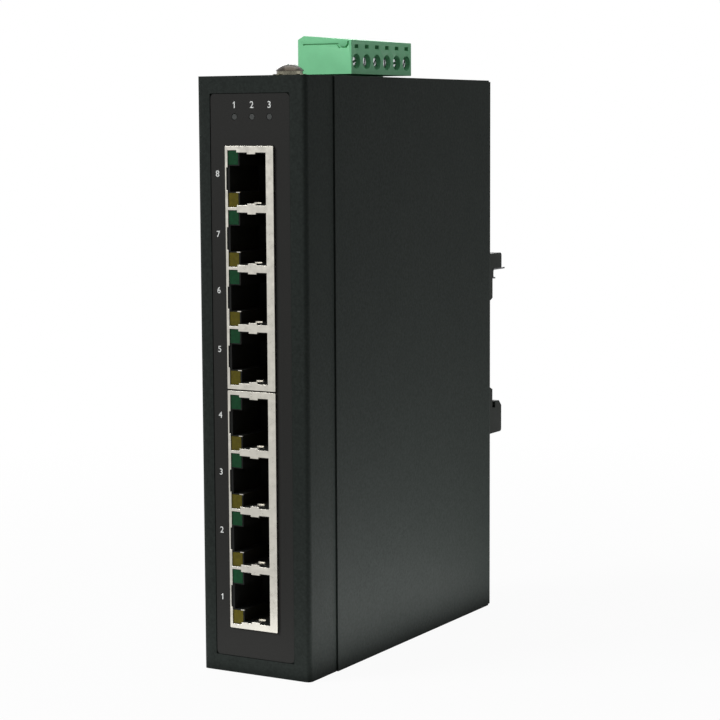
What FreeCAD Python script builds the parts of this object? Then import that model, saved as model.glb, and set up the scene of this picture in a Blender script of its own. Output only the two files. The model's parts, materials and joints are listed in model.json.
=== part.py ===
# DIN rail ethernet switch: a slim folded-steel case with eight network ports in
# its front, a pluggable power terminal on top and a rail clip behind.
#
# Working axes: X across the case, from the left wall to the cover; Y from the
# front panel to the back; Z up from the foot. Lengths are in millimetres.
# Every sub-part is a body drawn in these axes, and its Placement carries it to
# the part's own frame, whose origin is the middle of the base.
import FreeCAD, Part
import math
import operator
import os
import Sketcher

V = FreeCAD.Vector
PORTS_PER_JACK = 4
WIRES_PER_PORT = 8
POLES = 6
STATUS_LAMPS = 3
WASHER_TEETH = 12
CHIP_LEADS = 8
PAST = 1.0  # how far a cutter runs past the face that it opens

SIZES = [
    # alias, millimetres, what it is
    ("case_width", 30.0, "left wall to the front's right return, outside"),
    ("top_room", 16.25, "upper network jack to the top of the case"),
    ("case_depth", 95.0, "front panel to the cover's back lip, outside"),
    ("sheet_thick", 1.0, "steel sheet of the shell and the cover"),
    ("front_bend", 1.2, "outer radius of the front's two upright bends"),
    ("flange_bend", 1.5, "outer radius of the top, bottom and back bends"),
    ("relief_past", 0.4, "how far a corner relief runs past its bend"),
    ("fold_gap", 0.2, "gap between a flange's edge and the wall it meets"),
    ("return_depth", 12.2, "depth of the front's right return"),
    ("seam_gap", 0.15, "gap between the return and the cover"),
    ("cover_step", 0.4, "how far the cover stands out from the return"),
    ("cover_gap", 0.2, "gap between the flange edges and the cover"),
    ("cover_bend", 1.2, "outer radius of the cover's back bend"),
    ("tongue_length", 4.0, "tongue of the cover behind the return"),
    ("tongue_gap", 0.1, "gap between the tongue and the return"),
    ("lip_width", 2.2, "the cover's back lip beside the rail clip"),
    ("lug_width", 9.0, "the cover's two screw lugs, across"),
    ("lug_height", 36.0, "the cover's two screw lugs, along the height"),
    ("lug_screw_inset", 20.0, "cover screw to the foot or the top"),
    ("lug_screw_side", 6.4, "cover screw to the cover's outer face"),
    ("notch_length", 1.75, "relief at the cover's two back corners, along"),
    ("notch_drop", 0.35, "relief at the cover's two back corners, down"),
    ("recess_depth", 0.4, "pressed recess that holds the front label"),
    ("recess_wall", 0.6, "metal beside the recess on its inner side"),
    ("film_thick", 0.25, "front label film"),
    ("film_gap", 0.12, "gap around the label film"),
    ("film_window", 0.8, "radius of the label film's windows for the lamps"),
    ("label_width", 22.0, "recess of the front label, across"),
    ("label_low", 3.9, "foot to the recess"),
    ("label_top_inset", 4.0, "recess to the top of the case"),
    ("label_round", 0.3, "corner radius of the recess"),
    ("board_standoff", 5.1, "left wall to the board"),
    ("board_thick", 1.6, "circuit board"),
    ("board_front", 2.8, "front panel to the board's front edge"),
    ("board_back_gap", 4.0, "board's back edge to the back panel"),
    ("board_low", 5.0, "foot to the board"),
    ("board_top_gap", 5.0, "board to the top of the case"),
    ("hole_front", 27.0, "front panel to the first board screws"),
    ("hole_back", 5.0, "board's back edge to the last board screws"),
    ("hole_low", 7.0, "board's lower edge to the lower board screws"),
    ("hole_high", 13.0, "board's upper edge to the upper board screws"),
    ("standoff_radius", 2.7, "clinched board standoff"),
    ("jack_seat", 0.3, "board to the network jack's shield"),
    ("jack_width", 13.3, "network jack off the board, across"),
    ("jack_depth", 21.3, "network jack, front to back"),
    ("jack_bottom", 11.0, "foot to the lower network jack"),
    ("jack_between", 0.35, "gap between the two network jacks"),
    ("jack_proud", 0.4, "how far the jacks stand out of the front panel"),
    ("jack_clear", 0.25, "gap around the jacks in the front panel"),
    ("jack_end", 0.66, "end wall of a jack beyond its outer port"),
    ("port_pitch", 13.97, "from port to port"),
    ("shield_thick", 0.25, "tinned shield of the network jack"),
    ("shield_fit", 0.05, "gap between the shield and the jack's body"),
    ("band_latch", 0.7, "shield left of the port openings"),
    ("band_contact", 2.05, "shield right of the port openings"),
    ("bar_main", 1.68, "shield between two ports"),
    ("bar_lamp", 0.65, "shield between two ports, beside their lamps"),
    ("lamp_zone", 2.5, "width of the opening's part beside the lamps"),
    ("notch_depth", 0.35, "latch notch into the left band"),
    ("notch_height", 5.3, "latch notch, along the height"),
    ("finger_start", 6.1, "shield's left edge to the ground fingers"),
    ("finger_width", 2.3, "ground finger, across"),
    ("finger_rise", 0.4, "ground finger, out of its bar"),
    ("finger_length", 1.0, "ground finger, into the port"),
    ("cavity_height", 11.8, "plug cavity, along the height"),
    ("cavity_width", 7.3, "plug cavity, across, without the latch slot"),
    ("cavity_depth", 12.6, "plug cavity, front to back"),
    ("latch_height", 6.1, "latch slot, along the height"),
    ("latch_reach", 2.7, "latch slot, out of the plug cavity"),
    ("channel_reach", 1.25, "contact channel, out of the plug cavity"),
    ("channel_height", 8.4, "contact channel, along the height"),
    ("channel_start", 1.2, "front panel to the contact channel"),
    ("wire_pitch", 1.02, "from contact to contact"),
    ("wire_wide", 0.46, "contact wire, along the height"),
    ("wire_thick", 0.3, "contact wire"),
    ("wire_back", 17.9, "front panel to the contacts' tails"),
    ("wire_nose", 1.9, "front panel to the contacts' folded noses"),
    ("wire_tip_deep", 10.2, "front panel to the contacts' tips"),
    ("wire_drop", 3.1, "how far the contacts' tips stand into the port"),
    ("tail_slot", 1.4, "slot around the contacts' tails"),
    ("port_lamp_wide", 2.75, "port lamp, across"),
    ("port_lamp_high", 2.9, "port lamp, along the height"),
    ("port_lamp_deep", 6.0, "port lamp, front to back"),
    ("port_lamp_inset", 0.15, "port lamp behind the jack body's face"),
    ("lamp_fit", 0.05, "gap around a lamp in its pocket"),
    ("magnet_gap", 6.4, "network jack to its transformer block"),
    ("magnet_deep", 12.0, "transformer block, front to back"),
    ("magnet_high", 28.0, "transformer block, along the height"),
    ("magnet_rise", 5.8, "transformer block, off the board"),
    ("chip_gap", 2.5, "transformer blocks to the switching chip's leads"),
    ("chip_lift", 1.0, "middle of the jacks to the middle of the chip, down"),
    ("chip_size", 14.0, "switching chip's package, each way"),
    ("chip_rise", 1.5, "switching chip, off the board"),
    ("chip_reach", 1.0, "a chip lead, out of the package"),
    ("chip_pitch", 1.5, "from chip lead to chip lead"),
    ("chip_lead", 0.5, "a chip lead, across"),
    ("chip_foot", 0.3, "a chip lead, thickness"),
    ("crystal_gap", 4.0, "chip's leads to the crystal"),
    ("crystal_deep", 11.0, "crystal can, front to back"),
    ("crystal_high", 4.6, "crystal can, along the height"),
    ("crystal_rise", 3.5, "crystal can, off the board"),
    ("can_radius", 5.0, "supply capacitor"),
    ("can_tall", 12.5, "supply capacitor, off the board"),
    ("can_bevel", 0.8, "crimped rim of a supply capacitor"),
    ("can_back", 9.0, "board's back edge to the capacitors' middle"),
    ("can_low", 37.0, "board's lower edge to the lower capacitor"),
    ("can_pitch", 24.0, "from capacitor to capacitor"),
    ("coil_size", 12.0, "coil, each way"),
    ("coil_rise", 6.5, "coil, off the board"),
    ("coil_round", 2.5, "rounded corners of the coil"),
    ("coil_core", 3.5, "radius of the coil's core"),
    ("coil_core_drop", 0.5, "coil's core below its top"),
    ("coil_back", 13.0, "board's back edge to the coil's middle"),
    ("coil_drop", 41.0, "board's upper edge to the coil's middle"),
    ("relay_gap", 1.5, "transformer block to the alarm relay"),
    ("relay_deep", 20.0, "alarm relay, front to back"),
    ("relay_high", 10.0, "alarm relay, along the height"),
    ("relay_rise", 10.5, "alarm relay, off the board"),
    ("relay_drop", 26.0, "board's upper edge to the relay's middle"),
    ("edge_bevel", 0.6, "moulded bevel on the board's blocks"),
    ("foot_radius", 1.2, "seat pad under a jack"),
    ("peg_radius", 0.8, "locating peg under a jack"),
    ("peg_length", 1.5, "locating peg into the board"),
    ("status_drop", 9.5, "top of the case to the status lamps"),
    ("status_first", 2.75, "board to the first status lamp"),
    ("status_pitch", 4.8, "from status lamp to status lamp"),
    ("status_radius", 1.5, "status lamp"),
    ("status_tip", 1.3, "front panel's face to the lamps' tips"),
    ("status_bevel", 0.6, "bevelled tip of a status lamp"),
    ("status_window", 1.6, "radius of the holes before the status lamps"),
    ("status_flange", 1.8, "radius of a status lamp's flange"),
    ("flange_thick", 0.8, "status lamp's flange"),
    ("lead_thick", 0.5, "status lamp's leads"),
    ("lead_spread", 1.27, "half the distance between two leads"),
    ("lead_step", 2.0, "each lamp's leads stand further back by this"),
    ("holder_front", 3.0, "front panel to the status lamp holder"),
    ("holder_deep", 5.0, "status lamp holder, front to back"),
    ("holder_high", 4.8, "status lamp holder, along the height"),
    ("holder_past", 2.2, "status lamp holder past its last lamp"),
    ("pole_pitch", 5.08, "from terminal pole to terminal pole"),
    ("plug_front", 34.1, "front panel to the terminal plug"),
    ("plug_left", 7.8, "middle of the case to the plug's left face"),
    ("plug_width", 15.2, "terminal plug, across"),
    ("plug_lift", 0.85, "top of the case to the plug's block"),
    ("plug_height", 8.25, "terminal plug's block, along the height at its right face"),
    ("plug_crown", 1.2, "rise of the plug's sloping top towards its left"),
    ("plug_bevel", 1.7, "bevel along the plug's left top edge, across"),
    ("bevel_drop", 0.9, "bevel along the plug's left top edge, down"),
    ("plug_groove", 0.35, "width and depth of the moulded end lines"),
    ("groove_drop", 0.8, "plug's top to the end line"),
    ("groove_start", 1.5, "plug's left face to the end line"),
    ("groove_length", 10.0, "straight part of the end line"),
    ("key_width", 2.6, "moulded key mark, across at its top"),
    ("key_taper", 0.6, "moulded key mark, narrowing on each side"),
    ("key_drop", 0.85, "moulded key mark, below the end line"),
    ("tongue_fit", 0.2, "running gap around the plug's tongue"),
    ("tongue_floor_gap", 0.4, "plug's tongue to the header's floor"),
    ("header_rise", 0.6, "terminal header above the top of the case"),
    ("header_width", 8.5, "terminal header off the board, across"),
    ("header_height", 12.0, "terminal header, along the height"),
    ("header_wall", 1.2, "long walls of the terminal header"),
    ("header_end", 0.8, "end walls of the terminal header"),
    ("header_floor", 3.4, "floor of the terminal header"),
    ("header_inset", 0.1, "header's ends inside the plug's ends"),
    ("header_clear", 0.3, "gap around the header in the case's top"),
    ("pin_size", 1.0, "square header pin"),
    ("pin_top_inset", 1.8, "header's rim to the pins' tips"),
    ("pin_level", 1.4, "header's bottom to the middle of the pins' tails"),
    ("pin_tail", 1.2, "pins' tails past the board"),
    ("leaf_thick", 0.4, "contact leaf in the plug"),
    ("leaf_wide", 1.6, "contact leaf, front to back"),
    ("leaf_gap", 0.1, "contact leaf to the pin"),
    ("leaf_room", 0.2, "plug's tongue around the leaves"),
    ("leaf_inset", 1.2, "tongue's end to the leaves' ends"),
    ("cage_wide", 7.0, "wire clamp, across"),
    ("cage_deep", 4.0, "wire clamp, front to back"),
    ("cage_high", 4.2, "wire clamp, along the height"),
    ("cage_wall", 0.7, "wall of a wire clamp"),
    ("cage_low", 1.3, "plug block's bottom to the wire clamps"),
    ("cage_room", 0.15, "gap around a wire clamp"),
    ("entry_wide", 3.4, "wire entry, across"),
    ("entry_deep", 3.2, "wire entry, front to back"),
    ("screw_level", 3.1, "plug block's bottom to the clamp screws"),
    ("screw_hole", 1.85, "radius of the clamp screws' holes"),
    ("clamp_head", 1.7, "radius of a clamp screw's head"),
    ("clamp_head_high", 1.6, "clamp screw's head"),
    ("clamp_head_inset", 0.7, "plug's right face to the screw heads"),
    ("clamp_shank", 1.2, "radius of a clamp screw's shank"),
    ("clamp_slot", 0.6, "slot in a clamp screw's head"),
    ("thread_gap", 0.05, "gap between a plain shank and its hole"),
    ("test_wide", 1.8, "test hole above each screw, front to back"),
    ("test_high", 0.9, "test hole above each screw, along the height"),
    ("test_depth", 3.0, "depth of a test hole"),
    ("test_inset", 1.05, "plug's top to the test holes"),
    ("rail_level", 71.0, "foot to the middle of the rail"),
    ("rail_width", 35.0, "top hat rail, along the height"),
    ("rail_brim", 1.0, "thickness of the rail"),
    ("rail_gap", 0.2, "gap between the rail and the clip"),
    ("clip_side_gap", 0.2, "rail clip to the cover's back lip"),
    ("clip_reach", 12.0, "rail clip, off the back panel"),
    ("clip_web", 3.0, "rail clip's plate between its pads"),
    ("clip_pad", 6.5, "rail clip's pads that the rail bears on"),
    ("clip_block", 4.1, "rail clip's top block, along the height"),
    ("clip_foot", 7.0, "rail clip's foot below the rail"),
    ("spring_room", 3.0, "rail to the clip's top block"),
    ("hook_behind", 0.5, "play between a hook and the rail's brim"),
    ("hook_low_rise", 1.5, "lower hook behind the rail's brim"),
    ("hook_top_drop", 1.2, "upper hook behind the rail's brim"),
    ("hook_top_width", 16.0, "upper hook, across"),
    ("hook_bevel", 1.5, "lead-in of both hooks"),
    ("clip_round", 0.8, "rounded outer edges of the clip"),
    ("pad_length", 5.0, "clip's pads past the rail's edges"),
    ("spring_thick", 0.4, "leaf spring of the clip"),
    ("spring_tail", 1.9, "leaf spring past the clip's back"),
    ("spring_bend", 0.9, "outer radius of the leaf spring's bends"),
    ("clip_screw_pitch", 14.0, "between the two clip screws"),
    ("clip_screw_radius", 2.0, "clip screw's shank"),
    ("clip_head_radius", 3.6, "clip screw's head"),
    ("clip_head_high", 2.2, "clip screw's head"),
    ("screw_run", 3.0, "screw tips past their nuts or sheets"),
    ("nut_flats", 7.0, "hexagon nut, across its flats"),
    ("nut_high", 3.2, "hexagon nut"),
    ("small_shank", 1.45, "radius of a small screw's shank"),
    ("small_head", 2.75, "radius of a small screw's head"),
    ("small_head_high", 1.8, "small screw's head"),
    ("head_bevel", 0.6, "bevelled rim of a screw's head"),
    ("hole_gap", 0.25, "clearance hole around a screw's shank"),
    ("ground_deep", 17.5, "front panel to the ground screw"),
    ("ground_shank", 1.95, "radius of the ground screw's shank"),
    ("ground_head", 4.0, "radius of the ground screw's head"),
    ("ground_head_high", 2.4, "ground screw's head"),
    ("washer_thick", 0.6, "toothed washer"),
    ("washer_radius", 4.1, "toothed washer"),
    ("tooth_length", 1.1, "slot between two washer teeth, inward"),
    ("tooth_gap", 1.0, "slot between two washer teeth, across"),
]


class Dim:
    """A length that knows its value and the sheet formula that it comes from."""

    def __init__(self, value, formula):
        self.value = float(value)
        self.formula = formula

    def __float__(self):
        return self.value

    def __add__(self, other):
        return joined(self, "+", other)

    def __radd__(self, other):
        return joined(other, "+", self)

    def __sub__(self, other):
        return joined(self, "-", other)

    def __rsub__(self, other):
        return joined(other, "-", self)

    def __mul__(self, other):
        return joined(self, "*", other)

    def __rmul__(self, other):
        return joined(other, "*", self)

    def __truediv__(self, other):
        return joined(self, "/", other)

    def __neg__(self):
        return joined(0, "-", self)


OPERATIONS = {
    "+": operator.add,
    "-": operator.sub,
    "*": operator.mul,
    "/": operator.truediv,
}


def as_dim(number):
    """A plain number as a length without a cell of its own."""
    if isinstance(number, Dim):
        return number
    return Dim(number, f"{number:.9g}")


def joined(left, sign, right):
    left = as_dim(left)
    right = as_dim(right)
    value = OPERATIONS[sign](left.value, right.value)
    return Dim(value, f"({left.formula} {sign} {right.formula})")


doc = FreeCAD.newDocument("rail_switch")


class Sheet:
    """The spreadsheet of driving sizes, read by their aliases."""

    def __init__(self, rows):
        self.table = doc.addObject("Spreadsheet::Sheet", "sizes")
        for number, (alias, value, note) in enumerate(rows, start=1):
            self.table.set(f"A{number}", note)
            self.table.set(f"B{number}", str(value))
            self.table.setAlias(f"B{number}", alias)
        doc.recompute()
        for alias, value, note in rows:
            setattr(self, alias, Dim(self.table.get(alias), f"sizes.{alias}"))


S = Sheet(SIZES)

# Faces and levels that several sub-parts share.
LEFT = -S.case_width / 2
RIGHT = S.case_width / 2
INSIDE_LEFT = LEFT + S.sheet_thick
INSIDE_RIGHT = RIGHT - S.sheet_thick
COVER_FACE = RIGHT + S.cover_step
COVER_INSIDE = COVER_FACE - S.sheet_thick
FLANGE_EDGE = COVER_INSIDE - S.cover_gap
SHELL_BACK = S.case_depth - S.sheet_thick
BACK_INSIDE = SHELL_BACK - S.sheet_thick
JACK_HEIGHT = S.port_pitch * PORTS_PER_JACK + S.jack_end * 2
JACKS_TOP = S.jack_bottom + JACK_HEIGHT * 2 + S.jack_between
TOP = JACKS_TOP + S.top_room
TOP_INSIDE = TOP - S.sheet_thick
BOARD_BACK = INSIDE_LEFT + S.board_standoff
BOARD_FACE = BOARD_BACK + S.board_thick
BOARD_END = BACK_INSIDE - S.board_back_gap
BOARD_TOP = TOP - S.board_top_gap
SEAM = S.return_depth + S.seam_gap
STATUS_LEVEL = TOP - S.status_drop

JACK_LEFT = BOARD_FACE + S.jack_seat
JACK_RIGHT = JACK_LEFT + S.jack_width
JACK_MIDDLE = JACK_LEFT + S.jack_width / 2
JACK_FRONT = -S.jack_proud
BODY_FRONT = JACK_FRONT + S.shield_thick
CAVITY_RIGHT = JACK_RIGHT - S.band_contact - S.lamp_fit * 2
CAVITY_LEFT = CAVITY_RIGHT - S.cavity_width
CHANNEL_RIGHT = CAVITY_RIGHT + S.channel_reach

MAGNET_MIDDLE = S.jack_depth - S.jack_proud + S.magnet_gap + S.magnet_deep / 2
CHIP_MIDDLE = MAGNET_MIDDLE + (S.magnet_deep + S.chip_size) / 2 + S.chip_gap + S.chip_reach
CHIP_LEVEL = S.jack_bottom + JACK_HEIGHT + S.jack_between / 2 - S.chip_lift

POLE_FIRST = S.plug_front + S.pole_pitch / 2
PLUG_LENGTH = S.pole_pitch * POLES
PLUG_LEFT = -S.plug_left
PLUG_RIGHT = PLUG_LEFT + S.plug_width
PLUG_LOW = TOP + S.plug_lift
PLUG_TOP = PLUG_LOW + S.plug_height
PLUG_CREST = PLUG_TOP + S.plug_crown
HEADER_TOP = TOP + S.header_rise
HEADER_LOW = HEADER_TOP - S.header_height
HEADER_RIGHT = BOARD_FACE + S.header_width
HEADER_FRONT = S.plug_front + S.header_inset
HEADER_BACK = S.plug_front + PLUG_LENGTH - S.header_inset
HEADER_FLOOR = HEADER_LOW + S.header_floor
TONGUE_LEFT = BOARD_FACE + S.header_wall + S.tongue_fit
TONGUE_RIGHT = HEADER_RIGHT - S.header_wall - S.tongue_fit
PIN_MIDDLE = (TONGUE_LEFT + TONGUE_RIGHT) / 2
PIN_LEVEL = HEADER_LOW + S.pin_level
SCREW_LEVEL = PLUG_LOW + S.screw_level
CAGE_MIDDLE = PIN_MIDDLE + S.cage_wide / 4
CAGE_RIGHT = CAGE_MIDDLE + S.cage_wide / 2
CAGE_LOW = PLUG_LOW + S.cage_low

RAIL_LOW = S.rail_level - S.rail_width / 2
RAIL_HIGH = S.rail_level + S.rail_width / 2
SEAT_LOW = RAIL_LOW - S.rail_gap
SEAT_HIGH = RAIL_HIGH + S.spring_room
CLIP_LOW = SEAT_LOW - S.clip_foot
CLIP_HIGH = SEAT_HIGH + S.clip_block
CLIP_WEB = SHELL_BACK + S.clip_web
CLIP_PAD = SHELL_BACK + S.clip_pad
CLIP_BACK = SHELL_BACK + S.clip_reach
CLIP_SIDE = COVER_FACE - S.lip_width - S.clip_side_gap
HOOK_FACE = CLIP_PAD + S.rail_gap + S.rail_brim + S.hook_behind

# The part's frame: the origin is the middle of the base of the whole part.
FRAME_X = -S.cover_step / 2
FRAME_Y = (S.jack_proud - CLIP_BACK - S.spring_tail) / 2


# ---------------------------------------------------------------- drawing
def rect(left, low, right, high, bend=0):
    """A rectangle, with all four corners rounded to bend."""
    return [(left, low, bend), (right, low, bend), (right, high, bend), (left, high, bend)]


def around(x, y, wide, high, bend=0):
    """A rectangle about its middle."""
    return rect(x - wide / 2, y - high / 2, x + wide / 2, y + high / 2, bend)


def disc(x, y, radius):
    return ("disc", x, y, radius)


def hexagon(x, y, flats):
    """A hexagon with two corners on the first axis."""
    corner = flats / 2 / math.cos(math.pi / 6)
    ring = []
    for k in range(6):
        turn = math.pi / 3 * k
        ring.append((x + corner * math.cos(turn), y + corner * math.sin(turn)))
    return ring


def moved(start, along, reach):
    """start, shifted by reach in the direction along, which is -1 to 1."""
    if abs(along) < 1e-9:
        return start
    return start + reach * round(along, 9)


def split_corners(points):
    """The outline's joints: each rounded corner becomes the two ends of its arc."""
    joints = []
    for number, (x, y, *bend) in enumerate(points):
        if not bend or float(bend[0]) <= 0:
            joints.append((x, y, None))
            continue
        here = V(float(x), float(y), 0)
        before = points[number - 1]
        after = points[(number + 1) % len(points)]
        back = (V(float(before[0]), float(before[1]), 0) - here).normalize()
        ahead = (V(float(after[0]), float(after[1]), 0) - here).normalize()
        half_angle = back.getAngle(ahead) / 2
        reach = bend[0] * round(1 / math.tan(half_angle), 9)
        middle = (back + ahead).normalize()
        centre = here + middle * (float(bend[0]) / math.sin(half_angle))
        leftward = back.cross(ahead).z < 0
        joints.append((moved(x, back.x, reach), moved(y, back.y, reach), (centre, bend[0], leftward)))
        joints.append((moved(x, ahead.x, reach), moved(y, ahead.y, reach), None))
    return joints


def hold(sketch, edge, end, x, y):
    """Fixes a point of the sketch at x, y, by the formulas of both."""
    for kind, place in (("DistanceX", x), ("DistanceY", y)):
        place = as_dim(place)
        number = sketch.addConstraint(Sketcher.Constraint(kind, edge, end, place.value))
        sketch.setExpression(f"Constraints[{number}]", place.formula)


def hold_radius(sketch, edge, radius):
    radius = as_dim(radius)
    number = sketch.addConstraint(Sketcher.Constraint("Radius", edge, radius.value))
    sketch.setExpression(f"Constraints[{number}]", radius.formula)


def draw_disc(sketch, x, y, radius):
    circle = Part.Circle(V(float(x), float(y), 0), V(0, 0, 1), float(radius))
    edge = sketch.addGeometry(circle, False)
    hold(sketch, edge, 3, x, y)
    hold_radius(sketch, edge, radius)


def draw_outline(sketch, points):
    joints = split_corners(points)
    places = [V(float(x), float(y), 0) for x, y, arc in joints]
    edges = []
    for number, (x, y, arc) in enumerate(joints):
        start = places[number]
        end = places[(number + 1) % len(joints)]
        if arc is None:
            edge = sketch.addGeometry(Part.LineSegment(start, end), False)
            edges.append((edge, 1, 2))
            continue
        centre, radius, leftward = arc
        low, high = (start, end) if leftward else (end, start)
        turns = [math.atan2(p.y - centre.y, p.x - centre.x) for p in (low, high)]
        circle = Part.Circle(centre, V(0, 0, 1), float(radius))
        edge = sketch.addGeometry(Part.ArcOfCircle(circle, turns[0], turns[1]), False)
        edges.append((edge, 1, 2) if leftward else (edge, 2, 1))
        hold_radius(sketch, edge, radius)
    for number, (edge, start, end) in enumerate(edges):
        last, last_start, last_end = edges[number - 1]
        sketch.addConstraint(Sketcher.Constraint("Coincident", last, last_end, edge, start))
        hold(sketch, edge, start, joints[number][0], joints[number][1])


# Each view's plane, and whether its normal points along its axis or against it.
VIEWS = {"plan": ("XY_Plane", 1), "front": ("XZ_Plane", -1), "side": ("YZ_Plane", 1)}
PIECES = []


class Piece:
    """One sub-part: a body that is padded, pocketed, turned and rounded in steps.

    A plan outline is (x, y) and grows along Z, a front outline is (x, z) and
    grows along Y, and a side outline is (y, z) and grows along X.
    """

    def __init__(self, label, x=0, y=0, z=0, lean=0):
        self.body = doc.addObject("PartDesign::Body", label)
        self.body.Label = label
        self.body.AllowCompound = True
        self.body.Placement = FreeCAD.Placement(V(), FreeCAD.Rotation(V(1, 0, 0), lean))
        for axis, place in (("x", FRAME_X + x), ("y", FRAME_Y + y), ("z", as_dim(z))):
            self.body.setExpression(f"Placement.Base.{axis}", place.formula)
        PIECES.append(self)

    def origin(self, role):
        return [f for f in self.body.Origin.OriginFeatures if f.Role == role][0]

    def sketch(self, view, start, outlines):
        plane, facing = VIEWS[view]
        sketch = self.body.newObject("Sketcher::SketchObject", "outline")
        sketch.AttachmentSupport = [(self.origin(plane), "")]
        sketch.MapMode = "FlatFace"
        sketch.setExpression("AttachmentOffset.Base.z", (as_dim(start) * facing).formula)
        for outline in outlines:
            if outline[0] == "disc":
                draw_disc(sketch, *outline[1:])
            else:
                draw_outline(sketch, outline)
        return sketch

    def extrude(self, kind, view, start, length, outlines, against):
        sketch = self.sketch(view, start, outlines)
        feature = self.body.newObject(f"PartDesign::{kind}", kind.lower())
        feature.Profile = sketch
        feature.setExpression("Length", as_dim(length).formula)
        feature.Reversed = VIEWS[view][1] == against
        return feature

    def add(self, view, start, end, *outlines):
        """Material from start to end of the view's axis."""
        return self.extrude("Pad", view, start, end - start, outlines, -1)

    def take(self, view, start, end, *outlines):
        """A cut from start to end of the view's axis."""
        return self.extrude("Pocket", view, start, end - start, outlines, 1)

    def turn(self, kind, *outlines):
        """A front outline turned about the body's own upright axis."""
        feature_sketch = self.sketch("front", 0, outlines)
        feature = self.body.newObject(f"PartDesign::{kind}", kind.lower())
        feature.Profile = feature_sketch
        feature.ReferenceAxis = (feature_sketch, ["V_Axis"])
        feature.Angle = 360
        return feature

    def row(self, axis, step, count, *features):
        """Repeats features in a straight row."""
        pattern = self.body.newObject("PartDesign::LinearPattern", "row")
        pattern.Originals = list(features)
        pattern.Direction = (self.origin(f"{axis}_Axis"), [""])
        pattern.setExpression("Length", (step * (count - 1)).formula)
        pattern.Occurrences = count
        self.body.Tip = pattern
        return pattern

    def circle(self, count, *features):
        """Repeats features around the body's own upright axis."""
        pattern = self.body.newObject("PartDesign::PolarPattern", "circle")
        pattern.Originals = list(features)
        pattern.Axis = (self.origin("Z_Axis"), [""])
        pattern.Angle = 360
        pattern.Occurrences = count
        self.body.Tip = pattern
        return pattern

    def dress(self, kind, size, wanted):
        """Rounds or bevels the edges for which wanted(edge) is true."""
        doc.recompute()
        base = self.body.Tip
        names = [f"Edge{k}" for k, edge in enumerate(base.Shape.Edges, start=1) if wanted(edge)]
        if not names:
            raise RuntimeError(f"{self.body.Label}: no edge to dress")
        feature = self.body.newObject(f"PartDesign::{kind}", kind.lower())
        feature.Base = (base, names)
        measure = "Radius" if kind == "Fillet" else "Size"
        feature.setExpression(measure, as_dim(size).formula)
        return feature


def near(value, place):
    return abs(value - float(place)) < 1e-4


def runs_along(edge, axis):
    """True for a straight edge parallel to that axis."""
    if not isinstance(edge.Curve, Part.Line):
        return False
    return abs(getattr(edge.Curve.Direction, axis)) > 0.999


def lies_at(edge, **places):
    """True for an edge whose whole length lies at those coordinates."""
    for axis, place in places.items():
        for vertex in edge.Vertexes:
            if not near(getattr(vertex.Point, axis), place):
                return False
    return True


# ---------------------------------------------------------------- the case
def board_screw_places():
    """Depth and level of the board's four screws."""
    places = []
    for deep in (S.hole_front, BOARD_END - S.hole_back):
        for level in (S.board_low + S.hole_low, BOARD_TOP - S.hole_high):
            places.append((deep, level))
    return places


def clip_screw_levels():
    return [S.rail_level - S.clip_screw_pitch / 2, S.rail_level + S.clip_screw_pitch / 2]


def lug_screw_places():
    """Across and level of the two screws that hold the cover at the back."""
    across = COVER_FACE - S.lug_screw_side
    return [(across, S.lug_screw_inset), (across, TOP - S.lug_screw_inset)]


def status_places():
    return [BOARD_FACE + S.status_first + S.status_pitch * k for k in range(STATUS_LAMPS)]


def label_outline(gap):
    """The label's recess, or what fits in it with that gap all round."""
    half = S.label_width / 2 - gap
    return rect(
        JACK_MIDDLE - half, S.label_low + gap,
        JACK_MIDDLE + half, TOP - S.label_top_inset - gap, S.label_round,
    )


def jack_aperture(gap):
    """The hole that both jacks look out of."""
    return rect(JACK_LEFT - gap, S.jack_bottom - gap, JACK_RIGHT + gap, JACKS_TOP + gap)


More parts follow.
